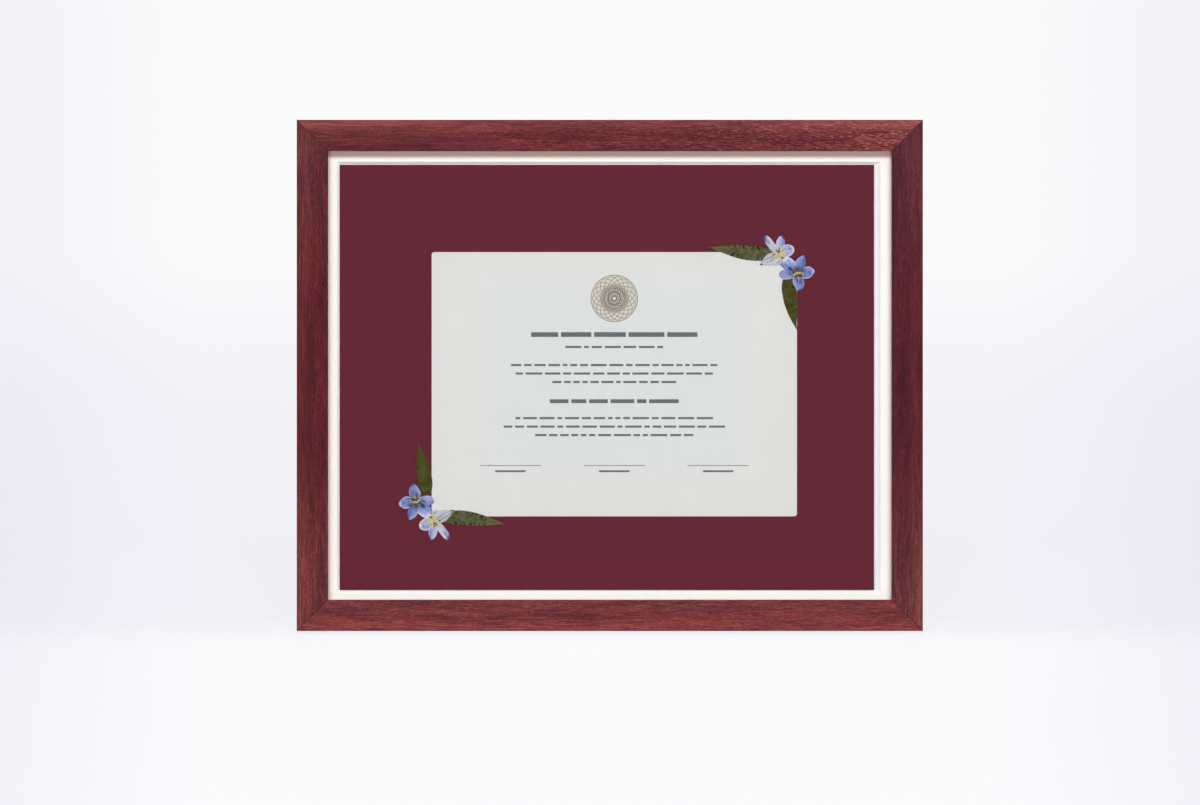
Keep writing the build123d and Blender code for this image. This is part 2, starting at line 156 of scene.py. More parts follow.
class Wire:
    """An output of a node. Plain arithmetic with it adds Math nodes to its tree."""

    def __init__(self, socket):
        self.socket = socket
        self.tree = socket.id_data

    def math(self, operation, *others, **settings):
        """The result of a Math node that takes this value first."""
        values = dict(enumerate((self, *others)))
        return wire(self.tree, "ShaderNodeMath", values, operation=operation, **settings)

    def __add__(self, other):
        return self.math("ADD", other)

    def __sub__(self, other):
        return self.math("SUBTRACT", other)

    def __rsub__(self, other):
        return wire(self.tree, "ShaderNodeMath", {0: other, 1: self}, operation="SUBTRACT")

    def __mul__(self, other):
        return self.math("MULTIPLY", other)

    def __truediv__(self, other):
        return self.math("DIVIDE", other)

    def __abs__(self):
        return self.math("ABSOLUTE")

    def clamped(self):
        """The value kept between 0 and 1."""
        return self.math("ADD", 0, use_clamp=True)


def fill(socket, value):
    """Links a socket, or sets its value."""
    if isinstance(value, Wire):
        value.tree.links.new(value.socket, socket)
    else:
        socket.default_value = value


def add_node(tree, kind, inputs=None, **settings):
    """A node with its settings made and its inputs filled."""
    made = tree.nodes.new(kind)
    for name, value in settings.items():
        setattr(made, name, value)
    for socket, value in (inputs or {}).items():
        fill(made.inputs[socket], value)
    return made


def wire(tree, kind, inputs=None, output=0, **settings):
    """An output of a new node."""
    return Wire(add_node(tree, kind, inputs, **settings).outputs[output])


def tree_of(*values):
    """The tree of the wires among some values."""
    return next(value.tree for value in values if isinstance(value, Wire))


def xyz(x, y, z):
    """A vector out of three numbers or wires."""
    return wire(tree_of(x, y, z), "ShaderNodeCombineXYZ", {"X": x, "Y": y, "Z": z})


def parts_of(vector):
    """The three numbers of a vector."""
    return [Wire(part) for part in add_node(vector.tree, "ShaderNodeSeparateXYZ", {0: vector}).outputs]


def scaled(vector, factor):
    """A vector times a number."""
    return wire(vector.tree, "ShaderNodeVectorMath", {0: vector, "Scale": factor}, operation="SCALE")


def length_of(vector):
    """How long a vector is."""
    return wire(vector.tree, "ShaderNodeVectorMath", {0: vector}, "Value", operation="LENGTH")


def along(vector, direction):
    """How far a vector reaches along a direction."""
    inputs = {0: vector, 1: direction}
    return wire(vector.tree, "ShaderNodeVectorMath", inputs, "Value", operation="DOT_PRODUCT")


def start_tree(name, sizes):
    """A Geometry Nodes tree, and the wires from its inputs by name."""
    tree = bpy.data.node_groups.new(name, "GeometryNodeTree")
    for end in ("INPUT", "OUTPUT"):
        tree.interface.new_socket("Geometry", in_out=end, socket_type="NodeSocketGeometry")
    for label, kind in sizes.items():
        tree.interface.new_socket(label, in_out="INPUT", socket_type="NodeSocket" + kind)
    print("tree", name, "takes", ", ".join(sizes))
    return tree, {socket.name: Wire(socket) for socket in tree.nodes.new("NodeGroupInput").outputs}


def finish_tree(geometry, material):
    """Every tree ends in real geometry with its material set."""
    tree = geometry.tree
    real = wire(tree, "GeometryNodeRealizeInstances", {"Geometry": geometry})
    dressed = wire(tree, "GeometryNodeSetMaterial", {"Geometry": real, "Material": material})
    add_node(tree, "NodeGroupOutput", {0: dressed})


def run_tree(tree, values, base=None):
    """Evaluates a tree with these inputs and returns the result as a plain mesh."""
    carrier = new_object(tree.name, base or bpy.data.meshes.new(tree.name))
    modifier = carrier.modifiers.new(tree.name, "NODES")
    modifier.node_group = tree
    for label, value in values.items():
        modifier[tree.interface.items_tree[label].identifier] = value
    graph = bpy.context.evaluated_depsgraph_get()
    evaluated = carrier.evaluated_get(graph)
    mesh = bpy.data.meshes.new_from_object(evaluated, preserve_all_data_layers=True, depsgraph=graph)
    bpy.data.objects.remove(carrier)
    return mesh


# %% Helpers for finishes


def tint(red, green, blue):
    """A colour written as on a screen, 0 to 255, turned into the linear values that nodes take."""
    shares = [level / 255 for level in (red, green, blue)]
    linear = [s / 12.92 if s <= 0.04045 else ((s + 0.055) / 1.055) ** 2.4 for s in shares]
    return (*linear, 1)


def empty_tree(block):
    """The node tree of a material or a world, without its first nodes."""
    block.use_nodes = True
    block.node_tree.nodes.clear()
    return block.node_tree


def start_finish(name, **values):
    """A material, its shader with constant values set, and the place on the object in millimetres."""
    material = bpy.data.materials.new(name)
    tree = empty_tree(material)
    constants = {label.replace("_", " "): value for label, value in values.items()}
    shader = add_node(tree, "ShaderNodeBsdfPrincipled", constants)
    add_node(tree, "ShaderNodeOutputMaterial", {"Surface": Wire(shader.outputs[0])})
    place = scaled(wire(tree, "ShaderNodeTexCoord", output="Object"), 1 / MM)
    print("finish", name)
    return material, shader, place


def stored(place, name, output="Fac"):
    """What the mesh stores on its points under a name."""
    return wire(place.tree, "ShaderNodeAttribute", output=output, attribute_name=name)


def noise(place, scale=1.0, detail=3.0, roughness=0.5, distortion=0.0):
    """A noise value from 0 to 1."""
    return wire(place.tree, "ShaderNodeTexNoise", {
        "Vector": place, "Scale": scale, "Detail": detail, "Roughness": roughness, "Distortion": distortion,
    })


def clouds(place, size_mm):
    """A soft cloudy tone from 0 to 1."""
    return noise(place, 1 / size_mm, 4, 0.6)


def tooth(place, fineness):
    """The fine tooth of a matt surface, from 0 to 1."""
    return noise(place, fineness, 3, 0.7)


def between(value, low, high):
    """0 at the low value, 1 at the high one, smooth in between."""
    inputs = {"Value": value, "From Min": low, "From Max": high}
    return wire(value.tree, "ShaderNodeMapRange", inputs, interpolation_type="SMOOTHSTEP")


def blend(share, first, second, mode="MIX"):
    """Two colours mixed by a share."""
    tree = tree_of(share, first, second)
    inputs = {0: share, 6: first, 7: second}
    return wire(tree, "ShaderNodeMix", inputs, 2, data_type="RGBA", blend_type=mode)


def mixed(share, first, second):
    """Two shaders mixed by a share."""
    return wire(share.tree, "ShaderNodeMixShader", {0: share, 1: first, 2: second})


def coat(shader, colour, height, depth_mm, strength):
    """Sets the shader's colour, and a bump of that depth on its normal."""
    fill(shader.inputs["Base Color"], colour)
    bump = {"Height": height, "Distance": depth_mm * MM, "Strength": strength}
    fill(shader.inputs["Normal"], wire(colour.tree, "ShaderNodeBump", bump))


# %% [markdown]
# ## The moulding's wood
# The rails are a red-brown stained hardwood under a satin lacquer. Its grain runs along each rail, so the
# pattern is a solid one in the rail's own directions: broad bands of tone, fine streaks, and short open
# pores whose glint in the light is painted as paler dashes. The rounded outer edge took less stain, and
# painted light on its outer slope makes it lighter still. Each rail's tones along its length are painted
# sheen and shade. A thin dark line is left where two rails meet in the mitre.

# %% Stained wood
wood_dark = tint(78, 26, 34)
wood_middle = tint(105, 39, 45)
wood_light = tint(138, 60, 60)
wood_pore_glint = tint(166, 98, 94)
wood_worn_and_lit_edge = (1.48, 1.75, 1.42, 1)
mitre_line = tint(50, 17, 21)
# Sizes of the grain in millimetres: along it, across it, and how far it sways
sway_size = (40, 20)
band_size = (90, 8, 14)
streak_size = (24, 0.9, 3)
pore_size = (5.5, 0.6, 3)
fleck_size = (7, 0.7, -3)
# A rail is level or upright. It has its turn, the seed of its grain, and its tones at its start, middle
# and end, which are painted sheen and shade: lighter ends and darker side rails. Pores says how strongly
# the painted glint of its pores shows, and the bias how much they gather towards the end.
Rail = namedtuple("Rail", "level turn seed tones pores pore_bias", defaults=(0.0,))


def stained_wood(name, rail):
    """Wood whose grain runs along the rail."""
    grain, side = (right, up) if rail.level else (up, right)
    middle, half = (centre.x, outer_width / 2) if rail.level else (centre.y, outer_height / 2)
    material, shader, place = start_finish(name, Specular_IOR_Level=0.08)
    length = along(place, grain)
    width = along(place, side)
    depth = along(place, out) + rail.seed
    sway = noise(xyz(length / sway_size[0], width / sway_size[1], rail.seed), detail=2)

    def stretched(run, across, waviness):
        """Coordinates in which one unit is run mm along the grain and across mm square to it."""
        return xyz(length / run, (sway * waviness + width) / across, depth / across)

    bands = noise(stretched(*band_size), detail=4)
    streaks = noise(stretched(*streak_size), detail=5, roughness=0.7)
    dashes = noise(stretched(*pore_size), detail=3)
    flecks = noise(stretched(*fleck_size), detail=2)
    grit = noise(place, 1.2, 2, 0.7)
    body = blend(between(bands, 0.36, 0.64), wood_dark, wood_middle)
    fine = (grit - 0.5) * 0.5 + streaks
    body = blend(between(fine, 0.46, 0.74), body, wood_light)
    body = blend(between(fine, 0.48, 0.3) * 0.8, body, wood_dark)
    body = blend(between(flecks, 0.42, 0.32) * 0.7, body, wood_dark)
    # Painted light: the outer edge is lighter, partly from less stain and partly from painted light on its
    # outer slope.
    ragged = (streaks - 0.5) * 6 + stored(place, "from_outer")
    body = blend(between(ragged, 14, 4), body, wood_worn_and_lit_edge, "MULTIPLY")
    # Painted highlight: the pores' paler dashes stand for their edges catching the light.
    gathered = bands * 1.2 - 0.1 + length * (rail.pore_bias * MM / outer_width)
    body = blend(between(dashes, 0.53, 0.65) * (gathered * rail.pores).clamped(), body, wood_pore_glint)
    # Painted sheen and shade along the rail: lighter ends, and darker side rails.
    run = (length - middle / MM) / (half / MM)
    start_tone, middle_tone, end_tone = [(*tone, 1) for tone in rail.tones]
    painted_sheen = blend(between(run, -0.2, -1.05), middle_tone, start_tone)
    painted_sheen = blend(between(run, 0.2, 1.05), painted_sheen, end_tone)
    body = blend(1.0, body, painted_sheen, "MULTIPLY")
    body = blend(1 - between(stored(place, "mitre"), 0.1, 0.4), body, mitre_line)
    fill(shader.inputs["Roughness"], streaks * 0.2 + 0.32)
    coat(shader, body, streaks * 0.5 + dashes, 0.12, 0.5)
    return material


# %% [markdown]
# ## The rails
# A rail is one section swept along a line, with both ends cut at 45 degrees. That is a rule, so Geometry
# Nodes make it: the section is swept straight, and then each point is drawn in by its own distance from
# the outer edge, which turns the square ends into mitres. The same tree makes all four rails. Two
# distances are stored for the finish: how far a point lies from the outer edge, and how far from the
# nearer mitre.

# %% Section of the moulding
glass_low, glass_high = picture_box("glazing_sheet")
rabbet_depth = glass_high.z - centre.z
rabbet_lip = 6.4 * MM
crest_from_outer = 13.0 * MM
outer_drop = 2.2 * MM
sight_drop = 1.6 * MM
outer_arris = 1.2 * MM
sight_arris = 0.6 * MM
back_arris = 0.8 * MM
back_relief = 0.05 * MM
CROWN_STEPS = 14
ARRIS_STEPS = 5


def crown_height(from_outer):
    """How far the crowned face stands from the back: an arc each side of the crest, level at the crest."""
    aside = from_outer - crest_from_outer
    inner_run = moulding_width - crest_from_outer
    run, drop = (crest_from_outer, outer_drop) if aside < 0 else (inner_run, sight_drop)
    radius = (run ** 2 + drop ** 2) / (2 * drop)
    return moulding_depth - radius + math.sqrt(radius ** 2 - aside ** 2)


def round_corner(before, corner, after, radius):
    """Points of the small round that takes the place of a corner."""
    first = (before - corner).normalized()
    second = (after - corner).normalized()
    half = first.angle(second) / 2
    middle = corner + (first + second).normalized() * radius / math.sin(half)
    start = corner + first * radius / math.tan(half) - middle
    turn = start.angle_signed(corner + second * radius / math.tan(half) - middle)
    spins = [Matrix.Rotation(-turn * step / ARRIS_STEPS, 2) for step in range(ARRIS_STEPS + 1)]
    return [middle + spin @ start for spin in spins]


def moulding_section():
    """The closed section: x is the distance from the outer edge, y the distance from the back."""
    step = moulding_width / CROWN_STEPS
    inner_back = moulding_width - rabbet_lip
    outer_front = Vector((0, crown_height(0)))
    sight_front = Vector((moulding_width, crown_height(moulding_width)))
    rabbet_front = Vector((moulding_width, rabbet_depth))
    back_outer = Vector((0, back_relief))
    back_inner = Vector((inner_back, back_relief))
    crown = [Vector((i * step, crown_height(i * step))) for i in range(1, CROWN_STEPS)]
    points = round_corner(back_inner, back_outer, outer_front, back_arris)
    points += round_corner(back_outer, outer_front, crown[0], outer_arris)
    points += crown
    points += round_corner(crown[-1], sight_front, rabbet_front, sight_arris)
    points += [rabbet_front, Vector((inner_back, rabbet_depth)), back_inner]
    return points


def closed_curve(name, points):
    """A closed curve through points of a plane."""
    curve = bpy.data.curves.new(name, "CURVE")
    curve.dimensions = "3D"
    spline = curve.splines.new("POLY")
    spline.points.add(len(points) - 1)
    for target, point in zip(spline.points, points):
        target.co = (*point, 0, 1)
    spline.use_cyclic_u = True
    return new_object(name, curve)


# A sweep along +X takes the section's x to -Y and its y to -Z
section_points = [-point for point in moulding_section()]
section = closed_curve("section", section_points)
print("section of", len(section_points), "points")

# %% Geometry Nodes: one mitred rail
RINGS = 9
rail_tree, rail_in = start_tree(
    "mitred_rail", {"Section": "Object", "Length": "Float", "Mitre Gap": "Float", "Wood": "Material"}
)
half_length = rail_in["Length"] * 0.5
line = wire(rail_tree, "GeometryNodeCurvePrimitiveLine", {
    "Start": xyz(half_length * -1, 0, 0), "End": xyz(half_length, 0, 0),
})
rings = wire(rail_tree, "GeometryNodeResampleCurve", {"Curve": line, "Count": RINGS})
profile = wire(rail_tree, "GeometryNodeObjectInfo", {"Object": rail_in["Section"]}, "Geometry")
bar = wire(rail_tree, "GeometryNodeCurveToMesh", {
    "Curve": rings, "Profile Curve": profile, "Fill Caps": True,
})
run, from_outer, height = parts_of(wire(rail_tree, "GeometryNodeInputPosition"))
reach = half_length - from_outer - rail_in["Mitre Gap"]
drawn_in = run * (reach / half_length)
for label, distance in (("from_outer", from_outer), ("mitre", reach - abs(drawn_in))):
    inputs = {"Geometry": bar, "Name": label, "Value": distance / MM}
    bar = wire(rail_tree, "GeometryNodeStoreNamedAttribute", inputs)
mitred = wire(rail_tree, "GeometryNodeSetPosition", {
    "Geometry": bar, "Position": xyz(drawn_in, from_outer, height),
})
finish_tree(mitred, rail_in["Wood"])

# %% The four rails
mitre_gap = 0.001 * MM
mitre_edge = 0.12 * MM
MITRE_EDGE_STEPS = 2
MITRE_EDGE_DEGREES = 50
rails = {
    "bottom": Rail(True, 0, 11, [(1.20, 1.34, 1.26), (1.20, 1.32, 1.28), (1.20, 1.34, 1.28)], 0.5),
    "left": Rail(False, -90, 47, [(1.04, 1.26, 1.14), (0.62, 0.38, 0.50), (0.82, 0.92, 0.96)], 0.5),
    "top": Rail(True, 180, 83, [(1.06, 1.24, 1.16), (0.94, 0.86, 0.92), (1.16, 1.22, 1.18)], 0.9, 1.0),
    "right": Rail(False, 90, 29, [(1.0, 1.32, 1.24), (0.51, 0.34, 0.48), (0.64, 0.74, 0.90)], 0.45),
}
for side, rail in rails.items():
    length, span = (outer_width, outer_height) if rail.level else (outer_height, outer_width)
    wood = stained_wood("wood_" + side, rail)
    mesh = run_tree(rail_tree, {"Section": section, "Length": length, "Mitre Gap": mitre_gap, "Wood": wood})
    mesh.transform(Matrix.Translation((0, -span / 2, 0)))
    mesh.transform(Matrix.Translation(centre) @ Matrix.Rotation(math.radians(rail.turn), 4, "Z"))
    piece = add_piece("moulding_" + side, tidy_mesh(mesh), f"moulding_{side}_rail")
    edge = piece.modifiers.new("mitre edge", "BEVEL")
    edge.width = mitre_edge
    edge.segments = MITRE_EDGE_STEPS
    edge.angle_limit = math.radians(MITRE_EDGE_DEGREES)
bpy.data.objects.remove(section)

# %% [markdown]
# ## Mat, card and paper
# These are flat sheets whose CAD shape is already right, so they keep their mesh and get a finish. Board
# and paper are never one flat colour: a faint cloudy tone, short fibres and a fine tooth in the surface
# make them matt.

# %% Board and paper finishes
mat_white = tint(251, 245, 241)
mat_cloud = tint(252, 248, 244)
mat_foot_painted_light = tint(255, 251, 247)
mat_side_shade = tint(247, 230, 222)
mat_top_shade = tint(217, 188, 180)
# Where the mat's tones begin and end, in millimetres: below the middle, and from the side and top rails
foot_run = (-150, -200)
side_shade_run = (6.5, 0.5)
top_shade_run = (8.2, 3.2)
mat_cloud_size = 60
paper_warm = tint(216, 215, 213)
paper_cloud = tint(222, 221, 219)
paper_cool = tint(213, 217, 221)
paper_fibre = tint(196, 198, 190)
paper_cloud_size = 30
# The cool middle of the paper: how strong it is, how far it lies above the centre, and where it fades
cool_share = 0.35
cool_rise = 8
cool_width_run = (125, 95)
cool_height_run = (100, 70)


def paper(name, colour, cloud, cloud_size, tooth_mm, fibre=0.0, fibre_colour=None):
    """A matt sheet with a cloudy tone, fine fibres and a slight tooth."""
    material, shader, place = start_finish(name, Roughness=0.9, Specular_IOR_Level=0.15)
    body = blend(between(clouds(place, cloud_size), 0.25, 0.75), colour, cloud)
    if fibre_colour:
        hairs = noise(place, 0.9, 2, 0.5, 3.0)
        body = blend(between(hairs, 0.6, 0.7) * fibre, body, fibre_colour)
    coat(shader, body, tooth(place, 2.2), tooth_mm, 0.6)
    return material


def toned_mat():
    """White mat board with painted shade, warm and darker along the top and side rails where their shadow
    and the wood's bounced light fall, and a lighter foot of painted light.
    """
    material, shader, place = start_finish("mat_board", Roughness=0.9, Specular_IOR_Level=0.15)
    aside = abs(along(place, right) - centre.x / MM)
    above = along(place, up) - centre.y / MM
    from_side = (outer_width / 2 - moulding_width) / MM - aside
    from_top = (outer_height / 2 - moulding_width) / MM - above
    body = blend(clouds(place, mat_cloud_size), mat_white, mat_cloud)
    # Painted light: a lighter foot evens out the shade near the bottom rail.
    body = blend(between(above, *foot_run), body, mat_foot_painted_light)
    # Painted shade, warm from the wood's bounced light, along the side and top rails.
    body = blend(between(from_side, *side_shade_run), body, mat_side_shade)
    body = blend(between(from_top, *top_shade_run), body, mat_top_shade)
    coat(shader, body, tooth(place, 2.2), 0.05, 0.6)
    return material


def certificate_paper():
    """A pale sheet that is a little cooler towards its middle."""
    material, shader, place = start_finish("certificate_paper", Roughness=0.8, Specular_IOR_Level=0.2)
    low, high = picture_box("certificate_sheet")
    middle = (low + high) / 2
    aside = abs(along(place, right) - middle.x / MM)
    above = abs(along(place, up) - (middle.y / MM + cool_rise))
    cool = between(aside, *cool_width_run) * between(above, *cool_height_run)
    body = blend(clouds(place, paper_cloud_size), paper_warm, paper_cloud)
    body = blend(cool * cool_share, body, paper_cool)
    fibres = between(noise(place, 0.7, 2, 0.5, 4.0), 0.62, 0.72)
    body = blend(fibres * 0.12, body, paper_fibre)
    coat(shader, body, tooth(place, 1.6), 0.03, 0.5)
    return material


def dress(finish, *names):
    """Gives CAD nodes their finish."""
    for name in names:
        for slot in nodes[name].material_slots:
            slot.material = finish
    print(finish.name, "on", len(names), "of the CAD nodes")


card = paper("burgundy_card", tint(96, 33, 47), tint(98, 34, 49), 25, 0.04, 0.12, tint(110, 47, 60))
dress(card, "burgundy_inset_card")
dress(toned_mat(), "white_mat")
dress(certificate_paper(), "certificate_sheet")

# %% [markdown]
# ## The glazing
# Clear picture glass shows mostly what is behind it. A thin pane is best as a transparent shader with a
# little mirror mixed in by Fresnel: light goes straight through and shadows stay soft. The real one shows
# no clear reflection, so the mirror's index is set low.

# %% Clear glass
glass_colour = (0.995, 1, 0.998, 1)
mirror_index = 1.08
glass = bpy.data.materials.new("clear_glass")
glass_tree = empty_tree(glass)
clear = wire(glass_tree, "ShaderNodeBsdfTransparent", {"Color": glass_colour})
mirror = wire(glass_tree, "ShaderNodeBsdfGlossy", {"Roughness": 0.02})
pane = mixed(wire(glass_tree, "ShaderNodeFresnel", {"IOR": mirror_index}), clear, mirror)
add_node(glass_tree, "ShaderNodeOutputMaterial", {"Surface": pane})

# %% The sheet, with seamed edges and a hair clear of the mat it rests on
glass_gap = Vector((0.04, 0.04, 0.04)) * MM
glass_seam = 0.3 * MM
sheet_low = glass_low + glass_gap
sheet_high = glass_high - glass_gap
sheet = bmesh.new()
bmesh.ops.create_cube(sheet, size=1, matrix=Matrix.Diagonal((*(sheet_high - sheet_low), 1)))
bmesh.ops.bevel(sheet, geom=sheet.edges[:], offset=glass_seam, segments=1, affect="EDGES")
bmesh.ops.translate(sheet, verts=sheet.verts, vec=(sheet_low + sheet_high) / 2)
sheet_mesh = poured(sheet, bpy.data.meshes.new("glazing"))
sheet_mesh.materials.append(glass)
add_piece("glazing_pane", sheet_mesh, "glazing_sheet")

# %% [markdown]
# ## Print on the paper
# The paper carries a plain generic print without any lettering: grey bars where lines of words would
# stand, three ruled lines, and a rosette of fine crossing ellipses. Ink has hardly any thickness, but it
# is real geometry here, so it leaves with the model. One Geometry Nodes tree turns strokes into flat ink:
# every edge of a base mesh is swept with a flat section, whose width comes from the stroke's own weight.
# A second tree turns an ellipse into a rosette.

# %% Ink finishes


def ink_finish(name, colour, worn):
    """Dry ink that lets a little of the paper's tooth through."""
    material, shader, place = start_finish(name, Roughness=0.7, Specular_IOR_Level=0.2)
    body = blend(between(tooth(place, 1.4), 0.45, 0.75), colour, worn)
    fill(shader.inputs["Base Color"], body)
    return material


word_ink = ink_finish("word_ink", tint(94, 97, 102), tint(124, 127, 130))
rule_ink = ink_finish("rule_ink", tint(70, 72, 78), tint(96, 98, 102))
rosette_ink = ink_finish("rosette_ink", tint(122, 108, 94), tint(146, 134, 120))
rosette_tone = ink_finish("rosette_tone", tint(206, 200, 190), tint(214, 209, 200))

# %% Geometry Nodes: strokes and rosette
stroke_flatness = 0.02
OVAL_STEPS = 96


def inked(curves, weight, flatness):
    """Curves swept with a flat section as wide as the weight; flatness is its height for a width of 1."""
    flat = wire(curves.tree, "GeometryNodeCurvePrimitiveQuadrilateral", {"Width": 1.0, "Height": flatness})
    return wire(curves.tree, "GeometryNodeCurveToMesh", {
        "Curve": curves, "Profile Curve": flat, "Scale": weight, "Fill Caps": True,
    })


stroke_tree, stroke_in = start_tree("ink_strokes", {"Ink": "Material"})
stroke_weight = wire(stroke_tree, "GeometryNodeInputNamedAttribute", {"Name": "weight"}, data_type="FLOAT")
stroke_lines = wire(stroke_tree, "GeometryNodeMeshToCurve", {"Mesh": stroke_in["Geometry"]})
finish_tree(inked(stroke_lines, stroke_weight, stroke_flatness), stroke_in["Ink"])

rosette_tree, rosette_in = start_tree("rosette", {
    "Count": "Int", "Long Radius": "Float", "Short Radius": "Float", "Line Width": "Float",
    "Thickness": "Float", "Ink": "Material",
})
ring = wire(rosette_tree, "GeometryNodeCurvePrimitiveCircle", {"Resolution": OVAL_STEPS, "Radius": 1.0})
oval = wire(rosette_tree, "GeometryNodeTransform", {
    "Geometry": ring, "Scale": xyz(rosette_in["Long Radius"], rosette_in["Short Radius"], 1.0),
})
turns = wire(rosette_tree, "GeometryNodePoints", {"Count": rosette_in["Count"]})
turn_angle = wire(rosette_tree, "GeometryNodeInputIndex") * math.pi / rosette_in["Count"]
crossing = wire(rosette_tree, "GeometryNodeInstanceOnPoints", {
    "Points": turns, "Instance": oval, "Rotation": xyz(0, 0, turn_angle),
})
ovals = wire(rosette_tree, "GeometryNodeRealizeInstances", {"Geometry": crossing})
line_width = rosette_in["Line Width"]
finish_tree(inked(ovals, line_width, rosette_in["Thickness"] / line_width), rosette_in["Ink"])

# %% Layout of the print, in millimetres from the paper's middle
# A row of words is its height, its half width and the height of its bars
small_bar = 1.9
word_rows = [
    (44, 70, 4.2), (33, 44, small_bar), (17, 92, small_bar), (9.5, 84, small_bar), (2, 56, small_bar),
    (-15, 48, 3.4), (-30, 88, small_bar), (-37.5, 94, small_bar), (-45, 66, small_bar),
]
word_lengths = (4, 15)
word_space = 2.4
WORD_SEED = 5
# A ruled line is its middle, its height and its length
ruled_lines = [(-92, -72, 54), (0, -72, 54), (92, -72, 54)]
rule_weight = 0.55
label_drop = 5.0
label_height = 1.7
# A ring of the rosette is its number of ellipses, their long and short radius, the line's width and its
# thickness
rosette_place = (0, 76)
rosette_rings = [
    (9, 19.5, 8.5, 0.45, 0.04), (9, 12.5, 5.0, 0.4, 0.04),
    (8, 7.0, 1.8, 0.35, 0.04), (1, 20.6, 20.6, 0.6, 0.04),
]
rosette_disc = (1, 10.3, 10.3, 19.8, 0.016)
paper_low, paper_high = picture_box("certificate_sheet")
paper_middle = Vector(((paper_low.x + paper_high.x) / 2, (paper_low.y + paper_high.y) / 2, paper_high.z))


def word_row(height, half_width, bar, chance):
    """Strokes of one centred row: bars of uneven length with spaces between."""
    lengths = []
    while sum(lengths) + word_space * len(lengths) < 2 * half_width:
        lengths.append(chance.uniform(*word_lengths) * bar / small_bar)
    start = -(sum(lengths) + word_space * (len(lengths) - 1)) / 2
    strokes = []
    for length in lengths:
        strokes.append((start, start + length, height, bar))
        start += length + word_space
    return strokes


def add_print(name, mesh, place=(0, 0)):
    """Lays flat ink on the paper."""
    mesh.transform(Matrix.Translation(paper_middle + Vector((*place, 0)) * MM))
    add_piece(name, tidy_mesh(mesh))


def add_strokes(name, strokes, ink):
    """Prints level strokes, each an edge with its weight."""
    mesh = bpy.data.meshes.new("strokes")
    ends = [Vector((x, height, 0)) * MM for start, stop, height, bar in strokes for x in (start, stop)]
    mesh.from_pydata(ends, [(2 * i, 2 * i + 1) for i in range(len(strokes))], [])
    weights = mesh.attributes.new("weight", "FLOAT", "POINT")
    weights.data.foreach_set("value", [bar * MM for _, _, _, bar in strokes for _ in range(2)])
    add_print(name, run_tree(stroke_tree, {"Ink": ink}, mesh))


def rosette_ring(count, long_radius, short_radius, width, thickness, ink):
    """One ring of crossing ellipses."""
    return run_tree(rosette_tree, {
        "Count": count, "Long Radius": long_radius * MM, "Short Radius": short_radius * MM,
        "Line Width": width * MM, "Thickness": thickness * MM, "Ink": ink,
    })


chance = random.Random(WORD_SEED)
words = [stroke for row in word_rows for stroke in word_row(*row, chance)]
words += [(x - length / 4, x + length / 4, y - label_drop, label_height) for x, y, length in ruled_lines]
rules = [(x - length / 2, x + length / 2, y, rule_weight) for x, y, length in ruled_lines]
add_strokes("print_words", words, word_ink)
add_strokes("print_rules", rules, rule_ink)
rosette = joined([rosette_ring(*ring, rosette_ink) for ring in rosette_rings])
add_print("print_rosette", rosette, rosette_place)
add_print("print_rosette_disc", rosette_ring(*rosette_disc, rosette_tone), rosette_place)

# %% [markdown]
# ## Pressed petals and leaves
# The sprays are real flowers and leaves, dried flat. Each petal is its own thin solid: a grid whose width
# follows the petal's outline, with a slightly lifted rim. The grid's own UV map says how far along and
# across the petal a point is, so the finish can paint rims, veins and tips that follow its shape.

# %% Thin solids from a grid of points


def thin_sheet(row_count, column_count, thickness, point_at):
    """A closed thin solid.

    Point_at gives a point of its upper side, from the share of the length (0 to 1) and the place across
    (-1 to 1). These two also make the UV map.
    """
    width = column_count + 1
    grid = [(i / row_count, 2 * j / column_count - 1) for i in range(row_count + 1) for j in range(width)]
    upper = [point_at(share, aside) for share, aside in grid]
    lower = [point - Vector((0, 0, thickness)) for point in upper]
    total = len(upper)
    faces = []
    for i in range(row_count):
        for j in range(column_count):
            first = i * width + j
            face = [first, first + 1, first + width + 1, first + width]
            faces += [face, [total + corner for corner in reversed(face)]]
    border = list(range(width))
    border += [i * width + column_count for i in range(1, row_count + 1)]
    border += [row_count * width + j for j in reversed(range(column_count))]
    border += [i * width for i in reversed(range(1, row_count))]
    for here, there in zip(border, border[1:] + border[:1]):
        faces.append([here, total + here, total + there, there])
    mesh = bpy.data.meshes.new("sheet")
    mesh.from_pydata(upper + lower, [], faces)
    uvs = [(aside / 2 + 0.5, share) for share, aside in grid] * 2
    layer = mesh.uv_layers.new(name="UVMap")
    for loop in mesh.loops:
        layer.data[loop.index].uv = uvs[loop.vertex_index]
    return mesh


PETAL_ROWS = 22
PETAL_COLUMNS = 12
petal_base = 0.6
petal_thickness = 0.07 * MM
petal_lift = 0.05 * MM
petal_bend = 0.02
rim_wave = 0.05
rim_waves = 9
lift_waves = 5
# A petal's shape: its direction, length, right and left half width, the share of its length where it is
# widest, and how sharp its tip is. Its look: how deep its colour is, which side is deeper, how white its
# rim is, how dark its tip and its spot are, how dry and grey it is, and where along the petal the spot
# lies.
petal_values = "direction length right left widest tip tone lean rim dark_tip spot dry spot_at"
Petal = namedtuple("Petal", petal_values, defaults=(0.3, 0.0, 0.0, 0.0, 0.5))


def petal_width(share, widest, tip):
    """Share of the half width along the petal: a narrow base, a belly and a more or less sharp tip."""
    if share < widest:
        return petal_base + (1 - petal_base) * math.sin(math.pi / 2 * share / widest)
    return (1 - ((share - widest) / (1 - widest)) ** 2) ** tip


